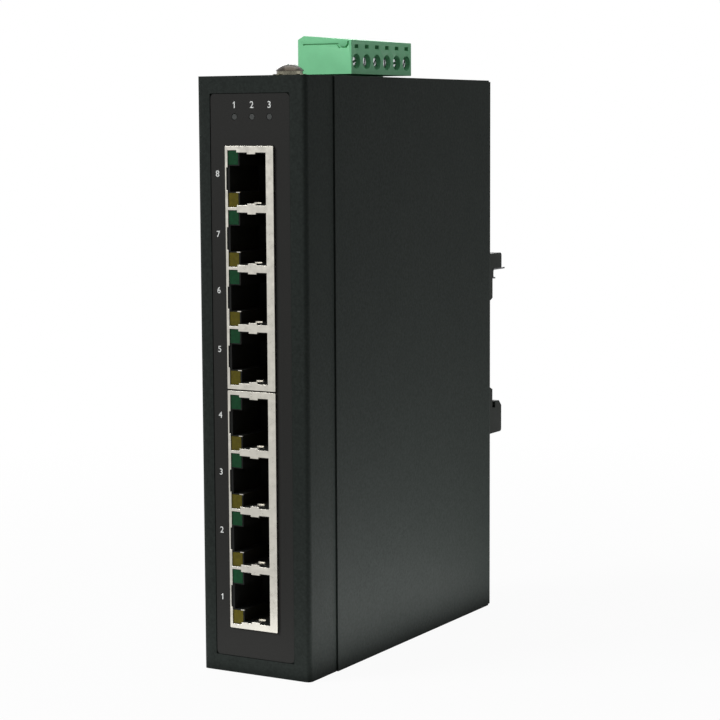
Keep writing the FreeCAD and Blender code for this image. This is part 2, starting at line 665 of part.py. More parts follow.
def main_shell():
    """Left wall, front with its right return, top, bottom and back, one folded sheet."""
    shell = Piece("main_shell")
    thick = S.sheet_thick
    inner_bend = S.flange_bend - thick
    flange_front = thick + S.fold_gap
    flange_back = BACK_INSIDE - S.fold_gap
    shell.add("front", flange_front, flange_back, [
        (FLANGE_EDGE, TOP), (LEFT, TOP, S.flange_bend), (LEFT, 0, S.flange_bend),
        (FLANGE_EDGE, 0), (FLANGE_EDGE, thick), (INSIDE_LEFT, thick, inner_bend),
        (INSIDE_LEFT, TOP_INSIDE, inner_bend), (FLANGE_EDGE, TOP_INSIDE),
    ])
    # Corner reliefs free the top and bottom flanges from the front and the back.
    relief_reach = LEFT + S.flange_bend + S.relief_past
    front_relief = S.front_bend + S.relief_past
    back_relief = SHELL_BACK - S.flange_bend - S.relief_past
    shell.take("plan", -PAST, TOP + PAST, rect(LEFT - PAST, 0, relief_reach, front_relief))
    shell.take("plan", -PAST, TOP + PAST, rect(LEFT - PAST, back_relief, relief_reach, SHELL_BACK))
    shell.take("plan", -PAST, TOP + PAST, rect(
        INSIDE_RIGHT - S.fold_gap, 0, COVER_FACE, S.return_depth + S.fold_gap,
    ))
    shell.add("plan", 0, TOP, [
        (RIGHT, S.return_depth), (RIGHT, 0, S.front_bend), (LEFT, 0, S.front_bend),
        (LEFT, front_relief), (INSIDE_LEFT, front_relief),
        (INSIDE_LEFT, thick, S.front_bend - thick), (INSIDE_RIGHT, thick, S.front_bend - thick),
        (INSIDE_RIGHT, S.return_depth),
    ], [
        (LEFT, back_relief), (LEFT, SHELL_BACK, S.flange_bend), (FLANGE_EDGE, SHELL_BACK),
        (FLANGE_EDGE, BACK_INSIDE), (INSIDE_LEFT, BACK_INSIDE, inner_bend),
        (INSIDE_LEFT, back_relief),
    ])
    # The label's recess is pressed in, so the metal stands out behind it.
    shell.add("front", thick, thick + S.recess_depth, label_outline(-S.recess_wall))
    shell.take("front", -PAST, S.recess_depth, label_outline(0))
    windows = [disc(x, STATUS_LEVEL, S.status_window) for x in status_places()]
    shell.take("front", -PAST, thick + PAST, jack_aperture(S.jack_clear), *windows)
    shell.take("plan", TOP_INSIDE - PAST, TOP + PAST, rect(
        BOARD_FACE - S.header_clear, HEADER_FRONT - S.header_clear,
        HEADER_RIGHT + S.header_clear, HEADER_BACK + S.header_clear,
    ), disc(0, S.ground_deep, S.ground_shank + S.hole_gap))
    clip_holes = [disc(0, z, S.clip_screw_radius + S.hole_gap) for z in clip_screw_levels()]
    lug_holes = [disc(x, z, S.small_shank + S.thread_gap) for x, z in lug_screw_places()]
    shell.take("front", BACK_INSIDE - PAST, SHELL_BACK + PAST, *clip_holes, *lug_holes)
    standoffs = [disc(y, z, S.standoff_radius + S.thread_gap) for y, z in board_screw_places()]
    shell.take("side", LEFT - PAST, INSIDE_LEFT + PAST, *standoffs)


def side_cover():
    """Flat right side: a tongue hooks behind the return, and two lugs screw on behind."""
    cover = Piece("side_cover")
    thick = S.sheet_thick
    lip_edge = COVER_FACE - S.lip_width
    cover.add("plan", 0, TOP, [
        (COVER_FACE, SEAM), (COVER_FACE, S.case_depth, S.cover_bend), (lip_edge, S.case_depth),
        (lip_edge, SHELL_BACK), (COVER_INSIDE, SHELL_BACK, S.cover_bend - thick),
        (COVER_INSIDE, SEAM),
    ])
    tongue_face = INSIDE_RIGHT - S.tongue_gap
    tongue_back = tongue_face - thick
    joggle = SEAM + thick
    tongue_low = thick + S.fold_gap * 2
    cover.add("plan", tongue_low, TOP - tongue_low, [
        (COVER_INSIDE + thick / 2, SEAM), (tongue_face, SEAM),
        (tongue_face, SEAM - S.tongue_length), (tongue_back, SEAM - S.tongue_length),
        (tongue_back, joggle), (COVER_INSIDE, joggle + thick), (COVER_INSIDE + thick / 2, joggle + thick),
    ])
    lug_edge = COVER_FACE - S.lug_width
    cover.add("front", SHELL_BACK, S.case_depth, rect(
        lug_edge, S.sheet_thick * 2, lip_edge + thick, S.lug_height,
    ), rect(
        lug_edge, TOP - S.lug_height, lip_edge + thick, TOP - S.sheet_thick * 2,
    ))
    notch_start = S.case_depth - S.notch_length
    cover.take("side", lip_edge - PAST, COVER_FACE + PAST, rect(
        notch_start, TOP - S.notch_drop, S.case_depth + PAST, TOP + PAST,
    ), rect(
        notch_start, -PAST, S.case_depth + PAST, S.notch_drop,
    ))
    holes = [disc(x, z, S.small_shank + S.hole_gap) for x, z in lug_screw_places()]
    cover.take("front", SHELL_BACK - PAST, S.case_depth + PAST, *holes)
    cover.dress("Fillet", thick * 2, lambda edge: runs_along(edge, "y") and lies_at(edge, x=lug_edge))


def front_label():
    """Printed film in the front's recess, cut out around the jacks and before the lamps."""
    label = Piece("front_label")
    windows = [disc(x, STATUS_LEVEL, S.film_window) for x in status_places()]
    label.add(
        "front", S.recess_depth - S.film_thick, S.recess_depth,
        label_outline(S.film_gap), jack_aperture(S.jack_clear * 2), *windows,
    )


def cover_screws():
    screws = Piece("cover_screws")
    heads = [disc(x, z, S.small_head) for x, z in lug_screw_places()]
    shanks = [disc(x, z, S.small_shank) for x, z in lug_screw_places()]
    head_top = S.case_depth + S.small_head_high
    screws.add("front", S.case_depth, head_top, *heads)
    screws.add("front", BACK_INSIDE - S.screw_run, S.case_depth, *shanks)
    screws.dress("Chamfer", S.head_bevel, lambda edge: lies_at(edge, y=head_top))


# ---------------------------------------------------------------- earthing
def ground_screw():
    """Pan head screw that takes the earth wire."""
    screw = Piece("ground_screw", 0, S.ground_deep, TOP + S.washer_thick)
    high = S.ground_head_high
    length = S.washer_thick + S.sheet_thick + S.nut_high + S.screw_run
    screw.turn("Revolution", [
        (0, -length), (S.ground_shank, -length), (S.ground_shank, 0), (S.ground_head, 0),
        (S.ground_head, high / 3), (S.ground_head * 0.8, high * 0.8), (S.ground_head * 0.5, high), (0, high),
    ])


def ground_washer():
    """Lock washer with teeth all round."""
    washer = Piece("ground_washer", 0, S.ground_deep, TOP)
    washer.add(
        "plan", 0, S.washer_thick,
        disc(0, 0, S.washer_radius), disc(0, 0, S.ground_shank + S.hole_gap),
    )
    slot = washer.take("plan", -PAST, S.washer_thick + PAST, rect(
        S.washer_radius - S.tooth_length, -S.tooth_gap / 2, S.washer_radius + PAST, S.tooth_gap / 2,
    ))
    washer.circle(WASHER_TEETH, slot)


def ground_nut():
    nut = Piece("ground_nut", 0, S.ground_deep, TOP_INSIDE - S.nut_high)
    nut.add(
        "plan", 0, S.nut_high,
        hexagon(0, 0, S.nut_flats), disc(0, 0, S.ground_shank + S.thread_gap),
    )


# ---------------------------------------------------------------- the board
def peg_places(jack_low):
    """Depth and level of a jack's two locating pegs."""
    deep = S.jack_depth / 2
    return [(deep, jack_low + S.port_pitch), (deep, jack_low + JACK_HEIGHT - S.port_pitch)]


def jack_levels():
    """Name and foot of both jacks."""
    return [
        ("lower", S.jack_bottom),
        ("upper", S.jack_bottom + JACK_HEIGHT + S.jack_between),
    ]


def main_board():
    """Circuit board, upright beside the left wall."""
    board = Piece("main_board")
    board.add("side", BOARD_BACK, BOARD_FACE, rect(
        S.board_front, S.board_low, BOARD_END, BOARD_TOP,
    ))
    holes = [disc(y, z, S.small_shank + S.hole_gap) for y, z in board_screw_places()]
    for name, low in jack_levels():
        holes += [disc(y, z, S.peg_radius + S.thread_gap) for y, z in peg_places(low)]
    for k in range(POLES):
        holes.append(disc(POLE_FIRST + S.pole_pitch * k, PIN_LEVEL, S.pin_size * 0.75))
    board.take("side", BOARD_BACK - PAST, BOARD_FACE + PAST, *holes)


def board_standoffs():
    """Blind threaded standoffs, clinched flush into the left wall."""
    standoffs = Piece("board_standoffs")
    bodies = [disc(y, z, S.standoff_radius) for y, z in board_screw_places()]
    threads = [disc(y, z, S.small_shank + S.thread_gap) for y, z in board_screw_places()]
    standoffs.add("side", LEFT, BOARD_BACK, *bodies)
    standoffs.take("side", INSIDE_LEFT, BOARD_BACK + PAST, *threads)


def board_screws():
    screws = Piece("board_screws")
    head_top = BOARD_FACE + S.small_head_high
    heads = [disc(y, z, S.small_head) for y, z in board_screw_places()]
    shanks = [disc(y, z, S.small_shank) for y, z in board_screw_places()]
    screws.add("side", BOARD_FACE, head_top, *heads)
    screws.add("side", BOARD_BACK - S.screw_run, BOARD_FACE, *shanks)


def board_part(label, deep, level, long_deep, long_high, rise, bend=0):
    """A moulded component that sits flat on the board."""
    component = Piece(label)
    outline = around(deep, level, long_deep, long_high, bend)
    component.add("side", BOARD_FACE, BOARD_FACE + rise, outline)
    return component


def magnetics():
    """One transformer block behind each jack."""
    for name, low in jack_levels():
        block = board_part(
            f"magnetics_{name}", MAGNET_MIDDLE, low + JACK_HEIGHT / 2,
            S.magnet_deep, S.magnet_high, S.magnet_rise,
        )
        top = BOARD_FACE + S.magnet_rise
        block.dress("Chamfer", S.edge_bevel, lambda edge: lies_at(edge, x=top))


def switch_chip():
    """Flat package with a row of leads along each of its four sides."""
    chip = board_part("switch_chip", CHIP_MIDDLE, CHIP_LEVEL, S.chip_size, S.chip_size, S.chip_rise)
    span = S.chip_size + S.chip_reach * 2
    start = S.chip_pitch * (CHIP_LEADS - 1) / 2
    foot = BOARD_FACE + S.chip_foot
    upright = chip.add("side", BOARD_FACE, foot, around(CHIP_MIDDLE - start, CHIP_LEVEL, S.chip_lead, span))
    level = chip.add("side", BOARD_FACE, foot, around(CHIP_MIDDLE, CHIP_LEVEL - start, span, S.chip_lead))
    chip.row("Y", S.chip_pitch, CHIP_LEADS, upright)
    chip.row("Z", S.chip_pitch, CHIP_LEADS, level)


def crystal():
    below = S.chip_size / 2 + S.chip_reach + S.crystal_gap + S.crystal_high / 2
    board_part(
        "crystal", CHIP_MIDDLE, CHIP_LEVEL - below,
        S.crystal_deep, S.crystal_high, S.crystal_rise, S.crystal_high * 0.48,
    )


def power_capacitors():
    """Two electrolytic cans with crimped rims."""
    deep = BOARD_END - S.can_back
    levels = [S.board_low + S.can_low + S.can_pitch * k for k in range(2)]
    cans = Piece("power_capacitors")
    top = BOARD_FACE + S.can_tall
    cans.add("side", BOARD_FACE, top, *[disc(deep, z, S.can_radius) for z in levels])
    cans.dress("Chamfer", S.can_bevel, lambda edge: lies_at(edge, x=top))


def power_inductor():
    deep = BOARD_END - S.coil_back
    level = BOARD_TOP - S.coil_drop
    coil = board_part("power_inductor", deep, level, S.coil_size, S.coil_size, S.coil_rise, S.coil_round)
    top = BOARD_FACE + S.coil_rise
    coil.take("side", top - S.coil_core_drop, top + PAST, disc(deep, level, S.coil_core))


def alarm_relay():
    relay = board_part(
        "alarm_relay", MAGNET_MIDDLE + (S.magnet_deep + S.relay_deep) / 2 + S.relay_gap,
        BOARD_TOP - S.relay_drop, S.relay_deep, S.relay_high, S.relay_rise,
    )
    top = BOARD_FACE + S.relay_rise
    relay.dress("Chamfer", S.edge_bevel, lambda edge: lies_at(edge, x=top))


# ---------------------------------------------------------------- network jacks
def port_levels(jack_low):
    return [jack_low + S.jack_end + S.port_pitch * (k + 0.5) for k in range(PORTS_PER_JACK)]


def port_opening(level):
    """Opening in the shield: wide for the plug, wider beside the lamps, notched for the latch."""
    right = JACK_RIGHT - S.band_contact
    left = JACK_LEFT + S.band_latch
    step = left + S.lamp_zone
    notch = left - S.notch_depth
    main = (S.port_pitch - S.bar_main) / 2
    lamp = (S.port_pitch - S.bar_lamp) / 2
    latch = S.notch_height / 2
    return [
        (right, level - main), (right, level + main), (step, level + main),
        (step, level + lamp), (left, level + lamp), (left, level + latch),
        (notch, level + latch), (notch, level - latch), (left, level - latch),
        (left, level - lamp), (step, level - lamp), (step, level - main),
    ]


def finger_outlines(level, gap):
    """The two ground fingers of a port, or their notches with that gap."""
    main = (S.port_pitch - S.bar_main) / 2
    start = JACK_LEFT + S.finger_start - gap
    end = JACK_LEFT + S.finger_start + S.finger_width + gap
    tip = main - S.finger_rise - gap
    root = main + gap
    return [
        rect(start, level + tip, end, level + root),
        rect(start, level - root, end, level - tip),
    ]


def jack_shield(name, low):
    """Tinned shield over four ports, open towards the board."""
    shield = Piece(f"jack_shield_{name}")
    thick = S.shield_thick
    back = JACK_FRONT + S.jack_depth
    shield.add("front", JACK_FRONT, back, rect(JACK_LEFT, low, JACK_RIGHT, low + JACK_HEIGHT, thick))
    shield.take("front", JACK_FRONT + thick, back - thick, rect(
        JACK_LEFT - PAST, low + thick, JACK_RIGHT - thick, low + JACK_HEIGHT - thick,
    ))
    level = port_levels(low)[0]
    opening = shield.take("front", JACK_FRONT - PAST, BODY_FRONT + PAST, port_opening(level))
    fingers = shield.add(
        "front", JACK_FRONT, JACK_FRONT + S.finger_length, *finger_outlines(level, as_dim(0)),
    )
    shield.row("Z", S.port_pitch, PORTS_PER_JACK, opening, fingers)


def lamp_outline(level, side, gap):
    """Face of a port lamp above (side 1) or below (side -1) the latch slot."""
    left = JACK_LEFT + S.band_latch + S.lamp_fit
    near_edge = S.latch_height / 2 + S.lamp_fit * 5
    low = level + near_edge if side > 0 else level - near_edge - S.port_lamp_high
    return rect(left - gap, low - gap, left + S.port_lamp_wide + gap, low + S.port_lamp_high + gap)


def jack_body(name, low):
    """Black insert with four plug cavities, lamp pockets and contact channels."""
    body = Piece(f"jack_body_{name}")
    inset = S.shield_thick + S.shield_fit
    back = JACK_FRONT + S.jack_depth - S.shield_thick
    body.add("front", BODY_FRONT, back, rect(
        JACK_LEFT, low + inset, JACK_RIGHT - inset, low + JACK_HEIGHT - inset,
    ))
    level = port_levels(low)[0]
    wide = S.cavity_height / 2
    latch = S.latch_height / 2
    latch_left = CAVITY_LEFT - S.latch_reach
    cavity_back = JACK_FRONT + S.cavity_depth
    cavity = body.take("front", BODY_FRONT - PAST, cavity_back, [
        (CAVITY_RIGHT, level - wide), (CAVITY_RIGHT, level + wide), (CAVITY_LEFT, level + wide),
        (CAVITY_LEFT, level + latch), (latch_left, level + latch),
        (latch_left, level - latch), (CAVITY_LEFT, level - latch), (CAVITY_LEFT, level - wide),
    ])
    lamp_back = BODY_FRONT + S.port_lamp_inset + S.port_lamp_deep
    pockets = body.take(
        "front", BODY_FRONT - PAST, lamp_back,
        lamp_outline(level, 1, S.lamp_fit), lamp_outline(level, -1, S.lamp_fit),
    )
    slot_back = S.wire_back + S.tail_slot / 2
    channel_half = S.channel_height / 2
    channel = body.take("front", S.channel_start, slot_back, rect(
        CAVITY_RIGHT - PAST, level - channel_half, CHANNEL_RIGHT, level + channel_half,
    ))
    tail_slot = body.take("front", slot_back - S.tail_slot, slot_back, rect(
        JACK_LEFT - PAST, level - channel_half, CHANNEL_RIGHT, level + channel_half,
    ))
    finger_room = body.take(
        "front", BODY_FRONT - PAST, JACK_FRONT + S.finger_length + S.lamp_fit,
        *finger_outlines(level, S.lamp_fit),
    )
    body.row("Z", S.port_pitch, PORTS_PER_JACK, cavity, pockets, channel, tail_slot, finger_room)
    feet = [disc(y, z, S.foot_radius) for y, z in peg_places(low)]
    pegs = [disc(y, z, S.peg_radius) for y, z in peg_places(low)]
    body.add("side", BOARD_FACE, JACK_LEFT, *feet)
    body.add("side", BOARD_FACE - S.peg_length, BOARD_FACE, *pegs)


def port_contacts(number, level):
    """Eight sprung wires: up from the board, forward over the port, back into it."""
    contacts = Piece(f"port_{number}_contacts")
    thick = S.wire_thick
    high = CAVITY_RIGHT + S.channel_reach * 0.65
    low = high - thick
    back = S.wire_back + thick / 2
    front = S.wire_back - thick / 2
    tip = low - S.wire_drop
    first = level - S.wire_pitch * (WIRES_PER_PORT - 1) / 2 - S.wire_wide / 2
    wire = contacts.add("plan", first, first + S.wire_wide, [
        (BOARD_FACE, front), (low, front), (low, S.wire_nose + thick * 3),
        (tip + thick, S.wire_tip_deep), (tip, S.wire_tip_deep - thick),
        (high - thick / 2, S.wire_nose), (high, S.wire_nose + thick / 2),
        (high, back), (BOARD_FACE, back),
    ])
    contacts.row("Z", S.wire_pitch, WIRES_PER_PORT, wire)


def port_lamp(label, level, side):
    """Light pipe of one port lamp, its face edges bevelled."""
    lamp = Piece(label)
    face = BODY_FRONT + S.port_lamp_inset
    lamp.add("front", face, face + S.port_lamp_deep, lamp_outline(level, side, as_dim(0)))
    lamp.dress("Chamfer", 0.2, lambda edge: lies_at(edge, y=face))


def network_ports():
    number = 0
    for name, low in jack_levels():
        jack_shield(name, low)
        jack_body(name, low)
        for level in port_levels(low):
            number += 1
            port_contacts(number, level)
            port_lamp(f"port_{number}_green_lamp", level, 1)
            port_lamp(f"port_{number}_yellow_lamp", level, -1)


# ---------------------------------------------------------------- status lamps
def status_lamp_holder():
    """Black spacer that carries the three status lamps off the board."""
    holder = Piece("status_lamp_holder")
    half = S.holder_high / 2
    right = status_places()[-1] + S.holder_past
    holder.add("front", S.holder_front, S.holder_front + S.holder_deep, rect(
        BOARD_FACE, STATUS_LEVEL - half, right, STATUS_LEVEL + half,
    ))
    bores = [disc(x, STATUS_LEVEL, S.status_radius + S.lamp_fit) for x in status_places()]
    holder.take("front", S.holder_front - PAST, S.holder_front + S.holder_deep + PAST, *bores)


def status_lamps():
    """Three round lamps with bevelled tips, and leads bent to the board."""
    flange_front = S.holder_front + S.holder_deep
    flange_back = flange_front + S.flange_thick
    lead = S.lead_thick
    for number, across in enumerate(status_places(), start=1):
        lamp = Piece(f"status_lamp_{number}")
        bend = flange_back + S.lead_step * number
        lamp.add("front", S.status_tip, flange_front, disc(across, STATUS_LEVEL, S.status_radius))
        lamp.add("front", flange_front, flange_back, disc(across, STATUS_LEVEL, S.status_flange))
        lamp.dress("Chamfer", S.status_bevel, lambda edge: lies_at(edge, y=S.status_tip))
        for level in (STATUS_LEVEL - S.lead_spread, STATUS_LEVEL + S.lead_spread):
            lamp.add("plan", level - lead / 2, level + lead / 2, [
                (across - lead / 2, flange_back), (across + lead / 2, flange_back),
                (across + lead / 2, bend + lead), (BOARD_FACE, bend + lead),
                (BOARD_FACE, bend), (across - lead / 2, bend),
            ])


# ---------------------------------------------------------------- power terminal
def pin_outline():
    """Side of a header pin: upright in the header, its tail through the board."""
    half = S.pin_size / 2
    right = PIN_MIDDLE + half
    left = PIN_MIDDLE - half
    tip = HEADER_TOP - S.pin_top_inset
    tail = BOARD_BACK - S.pin_tail
    return [
        (tail, PIN_LEVEL - half), (right, PIN_LEVEL - half), (right, tip), (left, tip),
        (left, PIN_LEVEL + half), (tail, PIN_LEVEL + half),
    ]


def terminal_header():
    """Open-topped socket on the board that the plug's tongue enters."""
    header = Piece("terminal_header")
    wall = S.header_wall
    end = S.header_end
    header.add("plan", HEADER_LOW, HEADER_TOP, rect(
        BOARD_FACE, HEADER_FRONT, HEADER_RIGHT, HEADER_BACK,
    ))
    header.take("plan", HEADER_FLOOR, HEADER_TOP + PAST, rect(
        BOARD_FACE + wall, HEADER_FRONT + end, HEADER_RIGHT - wall, HEADER_BACK - end,
    ))
    start = POLE_FIRST - S.pin_size / 2
    channel = header.take("front", start, start + S.pin_size, pin_outline())
    header.row("Y", S.pole_pitch, POLES, channel)


def header_pins():
    pins = Piece("header_pins")
    start = POLE_FIRST - S.pin_size / 2
    pin = pins.add("front", start, start + S.pin_size, pin_outline())
    pins.row("Y", S.pole_pitch, POLES, pin)


def end_line(outset):
    """Moulded line on the plug's end faces: a straight run that dips round a key mark."""
    width = S.plug_groove
    top = PLUG_TOP - S.groove_drop + outset
    left = PLUG_LEFT + S.groove_start
    key = left + S.groove_length
    key_end = key + S.key_width
    low = top - S.key_drop
    return [
        (left, top), (key, top), (key + S.key_taper, low), (key_end - S.key_taper, low),
        (key_end, top), (key_end, PLUG_TOP - width), (key_end + width, PLUG_TOP - width),
        (key_end + width, top - width), (key_end - S.key_taper + width, low - width),
        (key + S.key_taper - width, low - width), (key - width, top - width), (left, top - width),
    ]


def plug_housing():
    """Pluggable six-pole block: a tongue into the header, wire entries on top, screws at the right."""
    plug = Piece("plug_housing")
    back = S.plug_front + PLUG_LENGTH
    plug.add("front", S.plug_front, back, [
        (PLUG_LEFT, PLUG_LOW), (PLUG_RIGHT, PLUG_LOW), (PLUG_RIGHT, PLUG_TOP),
        (PLUG_LEFT + S.plug_bevel, PLUG_CREST), (PLUG_LEFT, PLUG_CREST - S.bevel_drop),
    ])
    ends = S.header_inset + S.header_end + S.tongue_fit
    plug.add("plan", HEADER_FLOOR + S.tongue_floor_gap, PLUG_LOW, rect(
        TONGUE_LEFT, S.plug_front + ends, TONGUE_RIGHT, back - ends,
    ))
    groove = S.plug_groove
    plug.take("front", S.plug_front - PAST, S.plug_front + groove, end_line(as_dim(0)))
    plug.take("front", back - groove, back + PAST, end_line(as_dim(0)))
    cage = plug.take("plan", CAGE_LOW - S.cage_room, CAGE_LOW + S.cage_high + S.cage_room, around(
        CAGE_MIDDLE, POLE_FIRST, S.cage_wide + S.cage_room * 2, S.cage_deep + S.cage_room * 2,
    ))
    leaf_span = S.pin_size + (S.leaf_gap + S.leaf_thick + S.leaf_room) * 2
    leaves = plug.take("plan", HEADER_FLOOR, CAGE_LOW, around(
        PIN_MIDDLE, POLE_FIRST, leaf_span, S.leaf_wide + S.leaf_room * 2,
    ))
    entry = plug.take("plan", CAGE_LOW, PLUG_CREST + PAST, around(
        PIN_MIDDLE, POLE_FIRST, S.entry_wide, S.entry_deep,
    ))
    head_back = PLUG_RIGHT - S.clamp_head_inset - S.clamp_head_high
    screw_bore = plug.take("side", head_back, PLUG_RIGHT + PAST, disc(POLE_FIRST, SCREW_LEVEL, S.screw_hole))
    shank_bore = plug.take("side", CAGE_RIGHT - S.cage_wall, head_back + PAST, disc(
        POLE_FIRST, SCREW_LEVEL, S.clamp_shank + S.hole_gap,
    ))
    test_level = PLUG_TOP - S.test_inset - S.test_high / 2
    test_bore = plug.take("side", PLUG_RIGHT - S.test_depth, PLUG_RIGHT + PAST, around(
        POLE_FIRST, test_level, S.test_wide, S.test_high,
    ))
    plug.row("Y", S.pole_pitch, POLES, cage, leaves, entry, screw_bore, shank_bore, test_bore)


def plug_clamps():
    """Metal wire clamps: a cage for the wire, and two leaves that grip the pin."""
    clamps = Piece("plug_clamps")
    cage_top = CAGE_LOW + S.cage_high
    wall = S.cage_wall
    cage = clamps.add(
        "plan", CAGE_LOW, cage_top,
        around(CAGE_MIDDLE, POLE_FIRST, S.cage_wide, S.cage_deep),
        around(CAGE_MIDDLE, POLE_FIRST, S.cage_wide - wall * 2, S.cage_deep - wall * 2),
    )
    floor = clamps.add("plan", CAGE_LOW, CAGE_LOW + S.leaf_thick, around(
        CAGE_MIDDLE, POLE_FIRST, S.cage_wide - wall, S.cage_deep - wall,
    ))
    leaf_low = HEADER_FLOOR + S.tongue_floor_gap + S.leaf_inset
    offset = S.pin_size / 2 + S.leaf_gap + S.leaf_thick / 2
    leaves = clamps.add(
        "plan", leaf_low, CAGE_LOW + S.leaf_thick,
        around(PIN_MIDDLE - offset, POLE_FIRST, S.leaf_thick, S.leaf_wide),
        around(PIN_MIDDLE + offset, POLE_FIRST, S.leaf_thick, S.leaf_wide),
    )
    thread = clamps.take("side", CAGE_RIGHT - wall - PAST / 2, CAGE_RIGHT + PAST, disc(
        POLE_FIRST, SCREW_LEVEL, S.clamp_shank + S.thread_gap,
    ))
    clamps.row("Y", S.pole_pitch, POLES, cage, floor, leaves, thread)


def plug_screws():
    """Slotted screws that close the wire clamps."""
    screws = Piece("plug_screws")
    head_right = PLUG_RIGHT - S.clamp_head_inset
    head_left = head_right - S.clamp_head_high
    head = screws.add("side", head_left, head_right, disc(POLE_FIRST, SCREW_LEVEL, S.clamp_head))
    shank = screws.add("side", CAGE_RIGHT - S.cage_wall * 2, head_left, disc(
        POLE_FIRST, SCREW_LEVEL, S.clamp_shank,
    ))
    slot = screws.take("side", head_right - S.clamp_slot, head_right + PAST, around(
        POLE_FIRST, SCREW_LEVEL, S.clamp_head * 3, S.clamp_slot,
    ))
    screws.row("Y", S.pole_pitch, POLES, head, shank, slot)


# ---------------------------------------------------------------- rail clip
def rail_clip():
    """Clip on the back: a foot hook below, a top block above, and pads for the rail between."""
    clip = Piece("rail_clip")
    bevel = S.hook_bevel
    low_hook_top = RAIL_LOW + S.hook_low_rise
    clip.add("side", -CLIP_SIDE, CLIP_SIDE, [
        (SHELL_BACK, CLIP_LOW), (CLIP_BACK, CLIP_LOW, S.clip_round),
        (CLIP_BACK, low_hook_top - bevel), (CLIP_BACK - bevel, low_hook_top),
        (HOOK_FACE, low_hook_top), (HOOK_FACE, SEAT_LOW), (CLIP_PAD, SEAT_LOW),
        (CLIP_PAD, RAIL_LOW + S.pad_length), (CLIP_WEB, RAIL_LOW + S.pad_length + S.clip_web / 2),
        (CLIP_WEB, RAIL_HIGH - S.pad_length - S.clip_web / 2), (CLIP_PAD, RAIL_HIGH - S.pad_length),
        (CLIP_PAD, SEAT_HIGH), (CLIP_BACK, SEAT_HIGH), (CLIP_BACK, CLIP_HIGH, S.clip_round),
        (SHELL_BACK, CLIP_HIGH),
    ])
    hook_half = S.hook_top_width / 2
    top_hook_low = RAIL_HIGH - S.hook_top_drop
    clip.add("side", -hook_half, hook_half, [
        (HOOK_FACE, SEAT_HIGH + S.clip_block / 2), (HOOK_FACE, top_hook_low),
        (CLIP_BACK - bevel, top_hook_low), (CLIP_BACK, top_hook_low + bevel),
        (CLIP_BACK, SEAT_HIGH + S.clip_block / 2),
    ])
    holes = [disc(0, z, S.clip_screw_radius + S.hole_gap) for z in clip_screw_levels()]
    clip.take("front", SHELL_BACK - PAST, CLIP_WEB + PAST, *holes)


def clip_spring():
    """Leaf spring under the top block: it presses the rail down, and its tail stands out behind."""
    spring = Piece("clip_spring")
    thick = S.spring_thick
    front = CLIP_PAD + S.rail_gap / 2
    low = RAIL_HIGH + S.rail_gap
    nose = HOOK_FACE - S.rail_gap / 2
    tail = CLIP_BACK + S.spring_tail
    bend = S.spring_bend
    spring.add("side", -CLIP_SIDE, CLIP_SIDE, [
        (tail, SEAT_HIGH), (front, SEAT_HIGH, bend), (front, low, bend), (nose, low),
        (nose, low + thick), (front + thick, low + thick, bend - thick),
        (front + thick, SEAT_HIGH - thick, bend - thick), (tail, SEAT_HIGH - thick),
    ])
    window = S.hook_top_width / 2 + S.rail_gap
    spring.take("plan", SEAT_HIGH - thick - PAST / 2, SEAT_HIGH + PAST, rect(
        -window, nose, window, CLIP_BACK + S.rail_gap,
    ))


def clip_screws():
    """Two screws that hold the clip to the back panel."""
    screws = Piece("clip_screws")
    head_top = CLIP_WEB + S.clip_head_high
    heads = [disc(0, z, S.clip_head_radius) for z in clip_screw_levels()]
    shanks = [disc(0, z, S.clip_screw_radius) for z in clip_screw_levels()]
    screws.add("front", CLIP_WEB, head_top, *heads)
    screws.add("front", BACK_INSIDE - S.nut_high - S.screw_run / 2, CLIP_WEB, *shanks)
    screws.dress("Chamfer", S.head_bevel, lambda edge: lies_at(edge, y=head_top))


def clip_nuts():
    nuts = Piece("clip_nuts")
    outlines = []
    for level in clip_screw_levels():
        outlines.append(hexagon(0, level, S.nut_flats))
        outlines.append(disc(0, level, S.clip_screw_radius + S.thread_gap))
    nuts.add("front", BACK_INSIDE - S.nut_high, BACK_INSIDE, *outlines)


# ---------------------------------------------------------------- build and write
def check(piece):
    """Stops the build if a feature failed, cut nothing or added nothing."""
    volume = 0.0
    for item in piece.body.Group:
        if set(item.State) & {"Invalid", "Error"}:
            raise RuntimeError(f"{piece.body.Label}: {item.Name} is {item.State}")
        if item.TypeId in ("PartDesign::Pad", "PartDesign::Revolution"):
            grows = item.Shape.Volume > volume + 1e-6
        elif item.TypeId == "PartDesign::Pocket":
            grows = item.Shape.Volume < volume - 1e-6
        else:
            grows = True
        if not grows:
            raise RuntimeError(f"{piece.body.Label}: {item.Name} changes nothing")
        if item.isDerivedFrom("PartDesign::Feature"):
            volume = item.Shape.Volume
    shape = piece.body.Shape
    if shape.isNull() or not shape.isValid():
        raise RuntimeError(f"{piece.body.Label}: the shape isn't valid")


def build():
    main_shell()
    side_cover()
    front_label()
    cover_screws()
    ground_screw()
    ground_washer()
    ground_nut()
    main_board()
    board_standoffs()
    board_screws()
    switch_chip()
    magnetics()
    power_capacitors()
    power_inductor()
    alarm_relay()
    crystal()
    network_ports()
    status_lamp_holder()
    status_lamps()
    terminal_header()
    header_pins()
    plug_housing()
    plug_clamps()
    plug_screws()
    rail_clip()
    clip_spring()
    clip_screws()
    clip_nuts()
    doc.recompute()


build()
for piece in PIECES:
    check(piece)
os.makedirs("parts", exist_ok=True)
for piece in PIECES:
    piece.body.Shape.exportStep(f"parts/{piece.body.Label}.step")
    box = piece.body.Shape.BoundBox
    solids = len(piece.body.Shape.Solids)
    print(f"{piece.body.Label}: {solids} solids, {box.XLength:.2f} x {box.YLength:.2f} x {box.ZLength:.2f} mm")
print(f"{len(PIECES)} sub-parts written")
